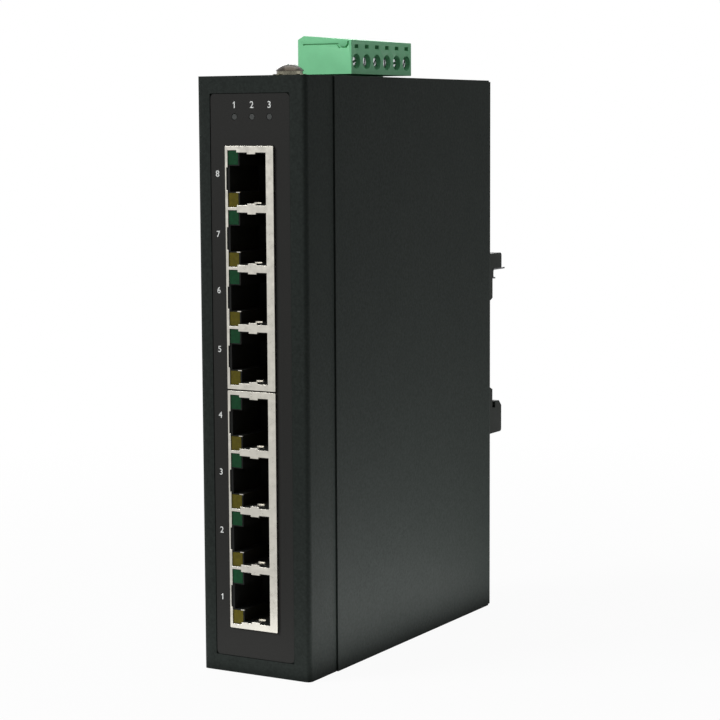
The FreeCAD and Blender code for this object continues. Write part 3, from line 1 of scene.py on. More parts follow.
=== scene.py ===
# %% [markdown]
# # Dressing a rail-mounted network switch
# The solids of the switch come from CAD and stay where they are. This lesson gives them the finishes of
# the real thing, powder coat, tin plate, moulded plastic and clear lenses, and adds the small details that
# CAD leaves out, such as rounded edges, screw recesses and printed numbers.

# %% The frame
import json
import math

import bmesh
import bpy
from mathutils import Matrix, Vector

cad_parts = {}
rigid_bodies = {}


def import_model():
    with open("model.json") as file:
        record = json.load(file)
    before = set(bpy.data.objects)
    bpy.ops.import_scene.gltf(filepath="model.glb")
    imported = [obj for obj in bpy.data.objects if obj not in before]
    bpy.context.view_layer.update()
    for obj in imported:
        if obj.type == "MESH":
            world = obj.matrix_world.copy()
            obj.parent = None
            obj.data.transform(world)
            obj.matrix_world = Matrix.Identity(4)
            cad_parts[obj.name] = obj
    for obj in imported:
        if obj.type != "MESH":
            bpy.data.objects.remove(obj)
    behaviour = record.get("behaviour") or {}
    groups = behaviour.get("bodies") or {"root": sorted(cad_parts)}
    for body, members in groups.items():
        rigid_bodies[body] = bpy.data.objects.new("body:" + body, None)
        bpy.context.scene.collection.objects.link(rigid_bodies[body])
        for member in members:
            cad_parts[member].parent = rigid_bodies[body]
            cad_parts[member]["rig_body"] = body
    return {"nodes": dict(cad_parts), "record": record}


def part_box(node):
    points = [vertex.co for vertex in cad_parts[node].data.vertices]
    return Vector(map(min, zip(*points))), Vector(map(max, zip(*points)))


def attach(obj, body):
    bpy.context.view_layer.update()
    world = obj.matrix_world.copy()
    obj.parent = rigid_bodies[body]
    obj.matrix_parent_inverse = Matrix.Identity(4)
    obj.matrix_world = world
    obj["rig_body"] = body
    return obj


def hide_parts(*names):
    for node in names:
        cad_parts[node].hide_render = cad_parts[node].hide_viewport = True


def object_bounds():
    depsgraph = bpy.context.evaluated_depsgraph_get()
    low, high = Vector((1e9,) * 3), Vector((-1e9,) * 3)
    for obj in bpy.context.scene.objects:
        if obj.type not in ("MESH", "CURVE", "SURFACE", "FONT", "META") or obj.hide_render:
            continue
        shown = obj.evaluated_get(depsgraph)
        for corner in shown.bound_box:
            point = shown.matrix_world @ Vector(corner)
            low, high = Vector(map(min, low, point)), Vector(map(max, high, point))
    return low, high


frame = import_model()
NODES = frame["nodes"]
CAD_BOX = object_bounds()
CENTRE = (CAD_BOX[0] + CAD_BOX[1]) / 2
MM = 0.001
scene = bpy.context.scene


def linked(name, data):
    """A new object with that data, in the scene."""
    made = bpy.data.objects.new(name, data)
    scene.collection.objects.link(made)
    return made


print("nodes:", len(NODES), "box in mm:", [round((b - a) / MM, 1) for a, b in zip(*CAD_BOX)])

# %% [markdown]
# ## The camera
# A long lens about half a metre away keeps the case's edges nearly parallel, as in a catalogue picture.
# The camera is a little lower than the top of the case, so the top face is out of sight. Three turns aim
# it, because each can then be read by itself: yaw about the vertical, then pitch, then a little roll.

# %% The camera
FOCAL_LENGTH = 106.7
SENSOR_WIDTH = 36.0
CAMERA_PLACE = Vector((269.6, -473.45, 130.6)) * MM
CAMERA_YAW, CAMERA_PITCH, CAMERA_ROLL = (math.radians(a) for a in (29.85, -6.30, -0.30))

camera = linked("camera", bpy.data.cameras.new("camera"))
camera.data.lens = FOCAL_LENGTH
camera.data.sensor_width = SENSOR_WIDTH
aim = Matrix.Rotation(CAMERA_YAW, 4, "Z") @ Matrix.Rotation(math.pi / 2 + CAMERA_PITCH, 4, "X")
camera.matrix_world = Matrix.Translation(CAMERA_PLACE) @ aim @ Matrix.Rotation(CAMERA_ROLL, 4, "Z")
scene.camera = camera
print("camera to the part's middle, in mm:", round((CAMERA_PLACE - CENTRE).length / MM))

# %% [markdown]
# ## Soft boxes
# A soft box is a large lamp behind cloth, and its size is what makes shadows soft. An area lamp does the
# same. The brightest lights the front panel from high on the left. From there its mirror image in the
# flat shields misses the camera, so that tin doesn't turn white. Weaker ones light the side, the top and
# the back.

# %% Soft boxes
scene.view_settings.view_transform = "Standard"


def soft_box(name, place, target, width, height, power):
    """A rectangular lamp that faces its target."""
    data = bpy.data.lights.new(name, "AREA")
    data.shape = "RECTANGLE"
    data.size, data.size_y = width, height
    data.energy = power
    lamp = linked(name, data)
    place = Vector(place)
    lamp.location = place
    lamp.rotation_euler = (Vector(target) - place).to_track_quat("-Z", "Y").to_euler()
    return lamp


SOFT_BOXES = (
    ("front_soft_box", (-0.62, -0.67, 0.7), 0.5, 14.3),
    ("side_soft_box", (0.9, 0.35, 0.35), 0.6, 1.3),
    ("top_soft_box", (-0.1, 0.2, 0.9), 0.6, 2.4),
    ("back_soft_box", (-0.5, 0.9, 0.3), 0.7, 4.0),
)
for name, place, side, watts in SOFT_BOXES:
    soft_box(name, place, CENTRE, side, side, watts)
print("soft boxes:", len(bpy.data.lights))

# %% [markdown]
# ## Light from the table
# On a bright table a dark case is lighter near its foot than at its top, because the table shines up at it.
# The floor of this scene could glow, but then it would also light every matt surface from below. Two small
# lamps that lie on the floor and face up give just the two gradients: one beside the case, one before it.

# %% Table glow
RIGHT_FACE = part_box("side_cover")[1].x
FRONT_FACE = CAD_BOX[0].y
LAMP_LIFT = 0.5 * MM


def table_glow(name, low, high, radiance):
    """A rectangle of table top of that radiance, which the camera doesn't see."""
    (x0, y0), (x1, y1) = low, high
    place = Vector(((x0 + x1) / 2, (y0 + y1) / 2, CAD_BOX[0].z + LAMP_LIFT))
    width, height = x1 - x0, y1 - y0
    lamp = soft_box(name, place, CENTRE, width, height, radiance * math.pi * width * height)
    lamp.rotation_euler = (math.pi, 0.0, 0.0)
    lamp.visible_camera = False


table_glow("glow_beside", (RIGHT_FACE + 8 * MM, -60 * MM), (RIGHT_FACE + 90 * MM, 60 * MM), 5.3)
table_glow("glow_in_front", (-30 * MM, FRONT_FACE - 42 * MM), (20 * MM, FRONT_FACE - 2 * MM), 1.5)
print("all lamps:", len(bpy.data.lights))

# %% [markdown]
# ## The white world
# A catalogue picture has a pure white background, yet a white world would wash out dark paint. Light Path
# tells the rays apart: the world is white for the rays that show it, from the camera, in mirrors and through
# glass, and much weaker for the rays that carry light to matt surfaces.

# %% World
WORLD_FILL = 0.12


def seen_rays(tree):
    """1 for the rays that show a backdrop: from the camera, in mirrors and through glass."""
    rays = tree.nodes.new("ShaderNodeLightPath")
    total = rays.outputs["Is Camera Ray"]
    for kind in ("Is Glossy Ray", "Is Transmission Ray"):
        larger = tree.nodes.new("ShaderNodeMath")
        larger.operation = "MAXIMUM"
        tree.links.new(total, larger.inputs[0])
        tree.links.new(rays.outputs[kind], larger.inputs[1])
        total = larger.outputs[0]
    return total


world = bpy.data.worlds.new("studio")
scene.world = world
world.use_nodes = True
tree = world.node_tree
tree.nodes.clear()
strength = tree.nodes.new("ShaderNodeMapRange")
strength.inputs["To Min"].default_value = WORLD_FILL
tree.links.new(seen_rays(tree), strength.inputs["Value"])
sky = tree.nodes.new("ShaderNodeBackground")
sky.inputs["Color"].default_value = (1.0, 1.0, 1.0, 1.0)
tree.links.new(strength.outputs["Result"], sky.inputs["Strength"])
out = tree.nodes.new("ShaderNodeOutputWorld")
tree.links.new(sky.outputs[0], out.inputs["Surface"])
print("world fill:", WORLD_FILL)

# %% [markdown]
# ## A kit for materials
# Each finish is one Principled shader. Its colour is broken up by noise, and its bump is built from noise
# too, both on Object coordinates, so that the grain has a real size in metres and stays on the piece.
# Constants sit on the shader's own sockets, and only what varies over the surface comes through a link.


# %% Material helpers
NOISE_LOW, NOISE_HIGH = 0.3, 0.7


class Finish:
    """A material with a Principled shader and shortcuts for its usual nodes."""

    def __init__(self, name, color, roughness, **sockets):
        self.material = bpy.data.materials.new(name)
        self.material.use_nodes = True
        self.tree = self.material.node_tree
        self.shader = self.tree.nodes["Principled BSDF"]
        self.color = (*color, 1.0)
        self.shader.inputs["Base Color"].default_value = self.color
        self.shader.inputs["Roughness"].default_value = roughness
        for socket, value in sockets.items():
            self.shader.inputs[socket.replace("_", " ")].default_value = value
        self.place = self.tree.nodes.new("ShaderNodeTexCoord").outputs["Object"]
        self.last_bump = None

    def join(self, output, node, socket):
        self.tree.links.new(output, node.inputs[socket])

    def noise(self, grain, detail=3.0):
        """Noise whose grains are about that many metres across."""
        node = self.tree.nodes.new("ShaderNodeTexNoise")
        node.inputs["Scale"].default_value = 1.0 / grain
        node.inputs["Detail"].default_value = detail
        self.join(self.place, node, "Vector")
        return node.outputs["Fac"]

    def vary_color(self, fac, dark, light):
        """The colour goes between two shades of itself."""
        ramp = self.tree.nodes.new("ShaderNodeValToRGB")
        ramp.color_ramp.elements[0].position = NOISE_LOW
        ramp.color_ramp.elements[1].position = NOISE_HIGH
        ramp.color_ramp.elements[0].color = (*[c * dark for c in self.color[:3]], 1.0)
        ramp.color_ramp.elements[1].color = (*[min(1.0, c * light) for c in self.color[:3]], 1.0)
        self.join(fac, ramp, "Fac")
        self.join(ramp.outputs["Color"], self.shader, "Base Color")

    def vary_roughness(self, fac, low, high):
        """The roughness goes between two values over the range that noise seldom leaves."""
        spread = self.tree.nodes.new("ShaderNodeMapRange")
        spread.inputs["From Min"].default_value = NOISE_LOW
        spread.inputs["From Max"].default_value = NOISE_HIGH
        spread.inputs["To Min"].default_value = low
        spread.inputs["To Max"].default_value = high
        self.join(fac, spread, "Value")
        self.join(spread.outputs["Result"], self.shader, "Roughness")

    def bump(self, fac, height, strength=1.0):
        """A relief that many metres high. A second one adds to the first."""
        node = self.tree.nodes.new("ShaderNodeBump")
        node.inputs["Distance"].default_value = height
        node.inputs["Strength"].default_value = strength
        self.join(fac, node, "Height")
        if self.last_bump:
            self.join(self.last_bump, node, "Normal")
        self.last_bump = node.outputs["Normal"]
        self.join(self.last_bump, self.shader, "Normal")


def linear(value):
    """One screen value from 0 to 1, as light."""
    if value <= 0.04045:
        return value / 12.92
    return ((value + 0.055) / 1.055) ** 2.4


def srgb(*levels):
    """Screen colour, 0 to 255, as the linear values that a shader wants."""
    return tuple(linear(level / 255) for level in levels)


print("black and white:", srgb(0, 0, 0), srgb(255, 255, 255))

# %% [markdown]
# ## Paint and label film
# Powder coat is paint baked from dry powder. It is matt, with an orange-peel grain of a few tenths of a
# millimetre, so a coarse and a fine bump are chained. Its mirror-like part is very weak: in a white studio a
# stronger one would turn near-black paint grey. The film on the front is smoother, with hardly any grain.

# %% Paint and film
def powder_coat():
    paint = Finish("powder_coat", srgb(32, 36, 34), 0.6, Specular_IOR_Level=0.04)
    paint.vary_color(paint.noise(0.0006, 2.0), 0.82, 1.22)
    paint.vary_roughness(paint.noise(0.012, 2.0), 0.59, 0.62)
    paint.bump(paint.noise(0.0007, 2.0), 0.00008, 0.5)
    paint.bump(paint.noise(0.00022, 1.0), 0.00002, 0.5)
    return paint.material


def label_film():
    film = Finish("label_film", srgb(37, 37, 36), 0.5, Specular_IOR_Level=0.05)
    film.vary_color(film.noise(0.0004, 2.0), 0.93, 1.07)
    film.bump(film.noise(0.0003, 1.0), 0.00001, 0.4)
    return film.material


FINISHES = {"case_paint": powder_coat(), "label_film": label_film()}
print("finishes so far:", list(FINISHES))

# %% [markdown]
# ## Metals
# The jack shields are tinned steel, bright but slightly uneven, so roughness varies over a millimetre or
# two. Screws are zinc or nickel plated, contacts are gold coloured, and the clip's spring is dark steel. All
# are fully metallic: their colour is the colour of what they mirror, tinted.

# %% Metals
def tin_plate():
    tin = Finish("tin_plate", srgb(188, 185, 176), 0.3, Metallic=1.0)
    tin.vary_color(tin.noise(0.003, 3.0), 0.93, 1.03)
    tin.vary_roughness(tin.noise(0.0015, 3.0), 0.24, 0.4)
    tin.bump(tin.noise(0.0012, 2.0), 0.00001, 0.3)
    return tin.material


def plated_metal(name, color, roughness):
    metal = Finish(name, color, roughness, Metallic=1.0)
    metal.vary_color(metal.noise(0.001, 3.0), 0.88, 1.06)
    metal.vary_roughness(metal.noise(0.0006, 2.0), roughness * 0.8, roughness * 1.3)
    metal.bump(metal.noise(0.0004, 2.0), 0.00001, 0.4)
    return metal.material


FINISHES["tinned_steel"] = tin_plate()
for name, color, roughness in (
    ("contact_metal", (214, 178, 96), 0.25),
    ("nickel_plate", (122, 119, 105), 0.25),
    # a darker copy of the nickel: painted shade for the dark reflection on the earth screw's dome
    ("dark_nickel", (62, 57, 50), 0.2),
    ("zinc_plate", (196, 198, 200), 0.25),
    ("spring_steel", (66, 66, 68), 0.35),
    ("tinned_copper", (200, 196, 186), 0.3),
    ("can_aluminium", (188, 190, 192), 0.35),
):
    FINISHES[name] = plated_metal(name, srgb(*color), roughness)
print("finishes so far:", len(FINISHES))

# %% [markdown]
# ## Plastics, lenses and board
# A moulded plastic copies the faint grain of its steel mould. The lamps' lenses are tinted plastic that lets
# a little light through. They are unlit here, so they look dark. The board is green glass laminate.

# %% Plastics, lenses and board
def moulded(name, color, roughness, grain=0.0004, shade=0.06, shine=0.15):
    """Plastic whose colour varies by that shade, with a mirror-like part of that shine."""
    plastic = Finish(name, color, roughness, Specular_IOR_Level=shine)
    plastic.vary_color(plastic.noise(grain * 8, 3.0), 1 - shade, 1 + shade)
    plastic.vary_roughness(plastic.noise(grain * 20, 2.0), roughness * 0.9, roughness * 1.1)
    plastic.bump(plastic.noise(grain, 2.0), 0.000015, 0.4)
    return plastic.material


def lens(name, color, clear):
    """Tinted plastic of which that share lets light through."""
    glass = Finish(name, color, 0.18, Transmission_Weight=clear, IOR=1.5, Specular_IOR_Level=0.06)
    glass.vary_color(glass.noise(0.0009, 2.0), 0.85, 1.15)
    glass.bump(glass.noise(0.0005, 1.0), 0.00001, 0.3)
    return glass.material


def laminate():
    board = Finish("laminate", srgb(30, 95, 55), 0.35)
    board.vary_color(board.noise(0.004, 4.0), 0.8, 1.2)
    board.bump(board.noise(0.0005, 2.0), 0.00002, 0.3)
    return board.material


FINISHES |= {
    "jack_plastic": moulded("jack_plastic", srgb(25, 26, 25), 0.45, shine=0.06),
    "terminal_plastic": moulded("terminal_plastic", srgb(119, 196, 145), 0.42, 0.0005, 0.04, 0.2),
    "clip_plastic": moulded("clip_plastic", srgb(18, 21, 18), 0.5, 0.0006, shine=0.08),
    "component_black": moulded("component_black", srgb(30, 30, 31), 0.55),
    "relay_case": moulded("relay_case", srgb(34, 36, 40), 0.3),
    "green_lens": lens("green_lens", srgb(9, 58, 31), 0.15),
    "yellow_lens": lens("yellow_lens", srgb(79, 72, 10), 0.15),
    "status_lens": lens("status_lens", srgb(84, 86, 80), 0.2),
    "board_laminate": laminate(),
}
print("finishes:", len(FINISHES))

# %% [markdown]
# ## Finishes on the nodes
# The record names a material slot for each node. A finish of the same name goes on the node's mesh, so a
# node that CAD adds later gets its finish by itself.

# %% A finish for each node
SLOT_OF = {part["node"]: part["material_slot"] for part in frame["record"]["subparts"]}
for name, node in NODES.items():
    node.data.materials.clear()
    node.data.materials.append(FINISHES[SLOT_OF[name]])
print("slots in use:", sorted(set(SLOT_OF.values())))

# %% [markdown]
# ## Softer edges
# A CAD edge is perfectly sharp, and a real one never is: paint rounds a folded sheet's edge, and a mould
# leaves a small radius. A thin line of light on each edge is what makes a picture look real. A bevel needs
# whole faces, and a CAD mesh is loose triangles. So the visible nodes get a stand-in: a copy with its
# triangles merged back into faces, and a Bevel modifier that stays live.

# %% A bevelled stand-in for a CAD node
MERGE_REACH = 0.001 * MM
FLAT = math.radians(0.5)
CREASE = math.radians(35)


def smooth_by_angle(mesh):
    """Smooth shading, with creases where faces meet at a steep angle."""
    for face in mesh.polygons:
        face.use_smooth = True
    mesh.set_sharp_from_angle(angle=CREASE)


def reshaped(node, change):
    """A copy of a node's mesh, its loose triangles joined, after change(bmesh)."""
    mesh = NODES[node].data.copy()
    work = bmesh.new()
    work.from_mesh(mesh)
    bmesh.ops.remove_doubles(work, verts=work.verts, dist=MERGE_REACH)
    change(work)
    work.to_mesh(mesh)
    work.free()
    return mesh


def take_over(piece, node):
    """The piece stands in for a CAD node: the node is hidden, and the piece rides on its body."""
    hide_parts(node)
    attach(piece, NODES[node]["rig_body"])


def whole_faces(work):
    """Merges the triangles of a flat face into one."""
    bmesh.ops.dissolve_limit(work, angle_limit=FLAT, verts=work.verts, edges=work.edges)


def soften(node, width):
    """Replaces a CAD node by a copy with rounded edges."""
    piece = linked(node + "_finished", reshaped(node, whole_faces))
    smooth_by_angle(piece.data)
    bevel = piece.modifiers.new("edges", "BEVEL")
    bevel.width = width
    bevel.segments = 2
    bevel.limit_method = "ANGLE"
    bevel.angle_limit = CREASE
    bevel.use_clamp_overlap = True
    bevel.harden_normals = True
    take_over(piece, node)


SOFT_EDGES = {
    "main_shell": 0.12,
    "side_cover": 0.12,
    "jack_shield_lower": 0.05,
    "jack_shield_upper": 0.05,
    "plug_housing": 0.12,
    "rail_clip": 0.2,
}
for node, width in SOFT_EDGES.items():
    soften(node, width * MM)
print("softened, in mm:", SOFT_EDGES)

# %% [markdown]
# ## New pieces
# The rest of the details are pieces of their own. Each is shaped by bmesh operators at its final place, so
# that its object stays at the origin, and each rides on the body of the switch that carries it.


# %% A mesh piece
def shaped(name, build):
    """A mesh that build(bmesh) shapes."""
    mesh = bpy.data.meshes.new(name)
    work = bmesh.new()
    build(work)
    work.to_mesh(mesh)
    work.free()
    return mesh


def new_piece(name, body, slot, build):
    """A piece that build(bmesh) shapes, on that body and in that finish."""
    piece = linked(name, shaped(name, build))
    piece.data.materials.append(FINISHES[slot])
    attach(piece, body)
    return piece


def block(work, low, high):
    """A box between two corners."""
    made = bmesh.ops.create_cube(work, size=1.0)["verts"]
    bmesh.ops.scale(work, vec=[b - a for a, b in zip(low, high)], verts=made)
    bmesh.ops.translate(work, vec=[(a + b) / 2 for a, b in zip(low, high)], verts=made)


# %% [markdown]
# ## Turned screws
# A screw is turned on a lathe, so its outline is spun about its axis. Two heads are needed: the pan head of
# the cover, clip and terminal screws, and the low dome of the earth screw, which has a sharp rim over a
# narrower collar. The outline runs from the shank's end on the axis to the top of the head on the axis, so
# that the spun solid is closed.

# %% Head outlines
SPIN_STEPS = 48
RIM_FOOT, RIM_HIGH = 0.97, 0.06
CROWN_FLAT, CROWN_LOW = 0.45, 0.25
TOP_FLAT = 0.3
PAN_STEPS, PAN_DEGREES = 9, 10
COLLAR_SHARE, NECK_SHARE = 0.3, 0.88
DOME_STEPS = 12


def spun(work, profile):
    """A closed solid of revolution about Z from (radius, height) points that start and end on the axis."""
    verts = [work.verts.new((radius, 0.0, height)) for radius, height in profile]
    edges = [work.edges.new(pair) for pair in zip(verts, verts[1:])]
    bmesh.ops.spin(
        work, geom=verts + edges, cent=(0, 0, 0), axis=(0, 0, 1),
        angle=math.tau, steps=SPIN_STEPS, use_merge=True,
    )
    bmesh.ops.remove_doubles(work, verts=work.verts, dist=2 * MERGE_REACH)
    bmesh.ops.recalc_face_normals(work, faces=work.faces)


def pan_outline(radius, height, length, shank):
    """Pan head: a short upright rim, then a dome, on a plain shank."""
    rim = [(radius * RIM_FOOT, 0.0), (radius, height * RIM_HIGH)]
    outline = [(0.0, -length), (shank, -length), (shank, 0.0)] + rim
    for k in range(PAN_STEPS):
        angle = math.radians(PAN_DEGREES * k)
        across = radius * (CROWN_FLAT + (1 - CROWN_FLAT) * math.cos(angle))
        outline.append((across, height * (CROWN_LOW + (1 - CROWN_LOW) * math.sin(angle))))
    return outline + [(radius * TOP_FLAT, height), (0.0, height)]


def dome_outline(radius, height, length, shank):
    """Low dome: part of a sphere down to a sharp rim, over a narrower collar and a plain shank."""
    collar = COLLAR_SHARE * height
    cap = height - collar
    ball = (radius ** 2 + cap ** 2) / (2 * cap)
    neck = NECK_SHARE * radius
    outline = [(0.0, -length), (shank, -length), (shank, 0.0), (neck, 0.0), (neck, collar)]
    reach = math.asin(radius / ball)
    for k in range(DOME_STEPS):
        angle = reach * (1 - k / DOME_STEPS)
        outline.append((ball * math.sin(angle), height - ball + ball * math.cos(angle)))
    return outline + [(0.0, height)]


print("outline points, pan and dome:", len(pan_outline(2, 1, 3, 1)), len(dome_outline(2, 1, 3, 1)))

# %% [markdown]
# ## Recesses
# A cross recess has four tapered arms, and a slotted head has one straight slot. Both are cut by a boolean
# with bars. Two crossed bars in one cutter would overlap, and a boolean with an overlapping cutter can lose
# the whole head. So each bar is cut by itself, and the cut mesh is kept in place of the modifier.


# %% Cutting a recess
ARM_LONG, ARM_WIDE = 1.15, 0.24
RECESS_LOW, RECESS_HIGH = 0.35, 1.3
ARM_TAPER = 0.45


def bar(work, length, width, low, high, taper):
    """A bar along X whose lower end is narrower by the taper."""
    made = bmesh.ops.create_cube(work, size=1.0)["verts"]
    bmesh.ops.scale(work, vec=(length, width, high - low), verts=made)
    bmesh.ops.translate(work, vec=(0, 0, (high + low) / 2), verts=made)
    bottom = [v for v in made if v.co.z < (high + low) / 2]
    bmesh.ops.scale(work, vec=(taper, taper, 1.0), verts=bottom)


def cut_by(piece, build):
    """Cuts the shape that build(bmesh) makes out of the piece."""
    cutter = linked("cutter", shaped("cutter", build))
    boolean = piece.modifiers.new("recess", "BOOLEAN")
    boolean.object = cutter
    boolean.solver = "EXACT"
    graph = bpy.context.evaluated_depsgraph_get()
    cut = bpy.data.meshes.new_from_object(piece.evaluated_get(graph))
    piece.modifiers.clear()
    piece.data = cut
    bpy.data.objects.remove(cutter)


def cross_recess(radius, height):
    """The two tapered bars of a cross recess, one cut each."""

    def arm(turn):
        def build(work):
            bar(
                work, radius * ARM_LONG, radius * ARM_WIDE,
                height * RECESS_LOW, height * RECESS_HIGH, ARM_TAPER,
            )
            bmesh.ops.rotate(work, cent=(0, 0, 0), matrix=Matrix.Rotation(turn, 3, "Z"), verts=work.verts)
        return build

    return [arm(0.0), arm(math.pi / 2)]


print("bars in a cross recess:", len(cross_recess(1.0, 1.0)))


# %% [markdown]
# ## Screws in their places
# One head is made about the origin, facing up, and copied to each place with its own turn, because a
# screwdriver never leaves two screws at the same angle. The places come from the CAD node: its separate
# solids are found by walking along edges from vertex to vertex.


# %% Copying screws
def put(piece, places, turns):
    """Copies the piece's mesh, made about the origin with Z outwards, to each place with its turn."""
    source = bmesh.new()
    source.from_mesh(piece.data)
    work = bmesh.new()
    for place in places:
        copy = bpy.data.meshes.new("copy")
        source.to_mesh(copy)
        copy.transform(place)
        work.from_mesh(copy)
        bpy.data.meshes.remove(copy)
    work.to_mesh(piece.data)
    work.free()
    source.free()
    smooth_by_angle(piece.data)
    print(piece.name, "copies:", len(places), "turns:", [round(math.degrees(t)) for t in turns])


def facing(axis, place, turn):
    """Carries a head made with Z outwards to a place, facing along an axis and turned about it."""
    outwards = Vector(axis).to_track_quat("Z", "Y").to_matrix().to_4x4()
    return Matrix.Translation(place) @ outwards @ Matrix.Rotation(turn, 4, "Z")


def screws(name, node, heads, axis, sizes, turns, recesses, outline=pan_outline):
    """Screws in place of a CAD node: heads are the middles of the heads' undersides."""
    piece = new_piece(
        name, NODES[node]["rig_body"], SLOT_OF[node], lambda work: spun(work, outline(*sizes)),
    )
    for recess in recesses:
        cut_by(piece, recess)
    put(piece, [facing(axis, place, turn) for place, turn in zip(heads, turns)], turns)
    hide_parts(node)
    return piece


def islands(node, axis):
    """The (low, high) corners of each separate solid of a node, sorted along an axis."""
    work = bmesh.new()
    work.from_mesh(NODES[node].data)
    bmesh.ops.remove_doubles(work, verts=work.verts, dist=MERGE_REACH)
    left = set(work.verts)
    boxes = []
    while left:
        stack = [left.pop()]
        group = []
        while stack:
            vert = stack.pop()
            group.append(vert.co.copy())
            for edge in vert.link_edges:
                other = edge.other_vert(vert)
                if other in left:
                    left.discard(other)
                    stack.append(other)
        low = Vector([min(c[k] for c in group) for k in range(3)])
        high = Vector([max(c[k] for c in group) for k in range(3)])
        boxes.append((low, high))
    work.free()
    return sorted(boxes, key=lambda box: box[0][axis])


print("solids found in plug_screws:", len(islands("plug_screws", 1)))

# %% [markdown]
# ## The earth screw
# It stands on a toothed washer in the top of the case. Its head is darker than its collar: the head's nickel
# is a darker copy, painted shade for the dark reflection on the top of the dome. Two materials on one mesh
# do
# that: the head has the first, and the faces lower than the collar's top have the second.

# %% Earth screw
GROUND_SHANK = 1.95 * MM
HEAD_SHARE = 0.9
COLLAR_FACES = 0.95
low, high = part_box("ground_screw")
washer_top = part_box("ground_washer")[1].z
ground_radius = (high.x - low.x) / 2 * HEAD_SHARE
ground_height = high.z - washer_top
ground_head = screws(
    "ground_screw_head", "ground_screw",
    [Vector(((low.x + high.x) / 2, (low.y + high.y) / 2, washer_top))], (0, 0, 1),
    (ground_radius, ground_height, washer_top - low.z, GROUND_SHANK), [math.radians(20)],
    cross_recess(ground_radius, ground_height), dome_outline,
)
# The head's darker nickel is painted shade for the dark reflection on top of the dome; the collar keeps the
# plain nickel.
ground_head.data.materials[0] = FINISHES["dark_nickel"]
ground_head.data.materials.append(FINISHES["nickel_plate"])
collar_top = washer_top + COLLAR_FACES * COLLAR_SHARE * ground_height
for face in ground_head.data.polygons:
    if face.center.z < collar_top:
        face.material_index = 1

# %% [markdown]
# ## Cover and clip screws
# Both pairs face the back. The cover's screws rest on its lugs, and the clip's screws sit in the clip. One
# loop makes both, because only the plane under the heads, the shank and the turns differ.

# %% Cover and clip screws
CLIP_HEAD_HIGH = 2.2 * MM
COVER_SHANK, CLIP_SHANK = 1.45 * MM, 2.0 * MM
BACK_SCREWS = (
    ("cover_screws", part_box("side_cover")[1].y, COVER_SHANK, (0.4, 1.1)),
    ("clip_screws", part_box("clip_screws")[1].y - CLIP_HEAD_HIGH, CLIP_SHANK, (0.9, 0.2)),
)
for node, underside, shank, turns in BACK_SCREWS:
    solids = islands(node, 2)
    heads = [Vector(((a.x + b.x) / 2, underside, (a.z + b.z) / 2)) for a, b in solids]
    radius = (solids[0][1].x - solids[0][0].x) / 2
    height = solids[0][1].y - underside
    screws(
        node + "_heads", node, heads, (0, 1, 0), (radius, height, underside - solids[0][0].y, shank),
        turns, cross_recess(radius, height),
    )

# %% [markdown]
# ## Terminal screws
# The six screws that clamp the wires have slotted heads, which face the plug's right side. A slot goes right
# across, so the bar that cuts it is longer than the head. It is cut once, before the head is copied.

# %% Terminal screws
CLAMP_HEAD_HIGH = 1.6 * MM
CLAMP_SHANK = 1.2 * MM
SLOT_WIDE = 0.62 * MM
CLAMP_TURNS = (20, 75, 48, 95, 10, 62)
solids = islands("plug_screws", 1)
heads = [Vector((b.x - CLAMP_HEAD_HIGH, (a.y + b.y) / 2, (a.z + b.z) / 2)) for a, b in solids]
radius = (solids[0][1].y - solids[0][0].y) / 2


def slot_cut(work):
    """A straight bar, from half the head's height to above it."""
    bar(work, radius * 3, SLOT_WIDE, CLAMP_HEAD_HIGH * 0.5, CLAMP_HEAD_HIGH * 1.5, 1.0)


screws(
    "plug_screw_heads", "plug_screws", heads, (1, 0, 0),
    (radius, CLAMP_HEAD_HIGH, solids[0][1].x - CLAMP_HEAD_HIGH - solids[0][0].x, CLAMP_SHANK),
    [math.radians(turn) for turn in CLAMP_TURNS], [slot_cut],
)

# %% [markdown]
# ## The faces of the port lamps
# Each port has a green lamp above and a yellow one below, at its left. A light pipe brings the light to the
# front and ends in a face a little larger than itself, which fills its corner of the opening. The face is a
# block over the end of the CAD pipe, because the CAD mesh stays as it is. It spreads to the left and away
# from the port's middle: up for the green one, down for the yellow one.

# %% Lens faces
PORTS = range(1, 9)
LENS_SPREAD = 0.35 * MM
LENS_PROUD = 0.17 * MM
LENS_SUNK = 0.4 * MM


def lens_faces(color, above, below):
    """Eight faces that stand out above and below their pipes by those lengths."""
    def build(work):
        for port in PORTS:
            low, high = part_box(f"port_{port}_{color}_lamp")
            block(
                work, (low.x - LENS_SPREAD, low.y - LENS_PROUD, low.z - below),
                (high.x, low.y + LENS_SUNK, high.z + above),
            )
    return build


for color, above, below in (("green", LENS_SPREAD, 0.0), ("yellow", 0.0, LENS_SPREAD)):
    new_piece(f"{color}_lens_faces", "switch", f"{color}_lens", lens_faces(color, above, below))
print("lens faces:", 2 * len(PORTS))

# %% [markdown]
# ## Tabs and ground fingers
# The shield is cut and bent from sheet. A short tab of it lies over the right end of each yellow pipe, and a
# spring finger runs along the port's floor and turns up at its tip, to touch the metal of a plug. Both catch
# the light as small bright spots in the dark port. They are thin blocks, and one piece holds all of them.

# %% Tabs and fingers
TAB_GAP, TAB_THICK = 0.05 * MM, 0.2 * MM
TAB_LEFT, TAB_RIGHT = 0.6 * MM, 0.4 * MM
TAB_PROUD, TAB_SUNK = 0.02 * MM, 0.5 * MM
PORT_FLOOR = 5.9 * MM
FINGER_START, FINGER_WIDTH = 6.3 * MM, 1.9 * MM
FINGER_ROOT, FINGER_REACH = 1.2 * MM, 2.8 * MM
FINGER_LOW, FINGER_HIGH = 0.02 * MM, 0.14 * MM
TIP_THICK, TIP_HIGH = 0.15 * MM, 0.4 * MM


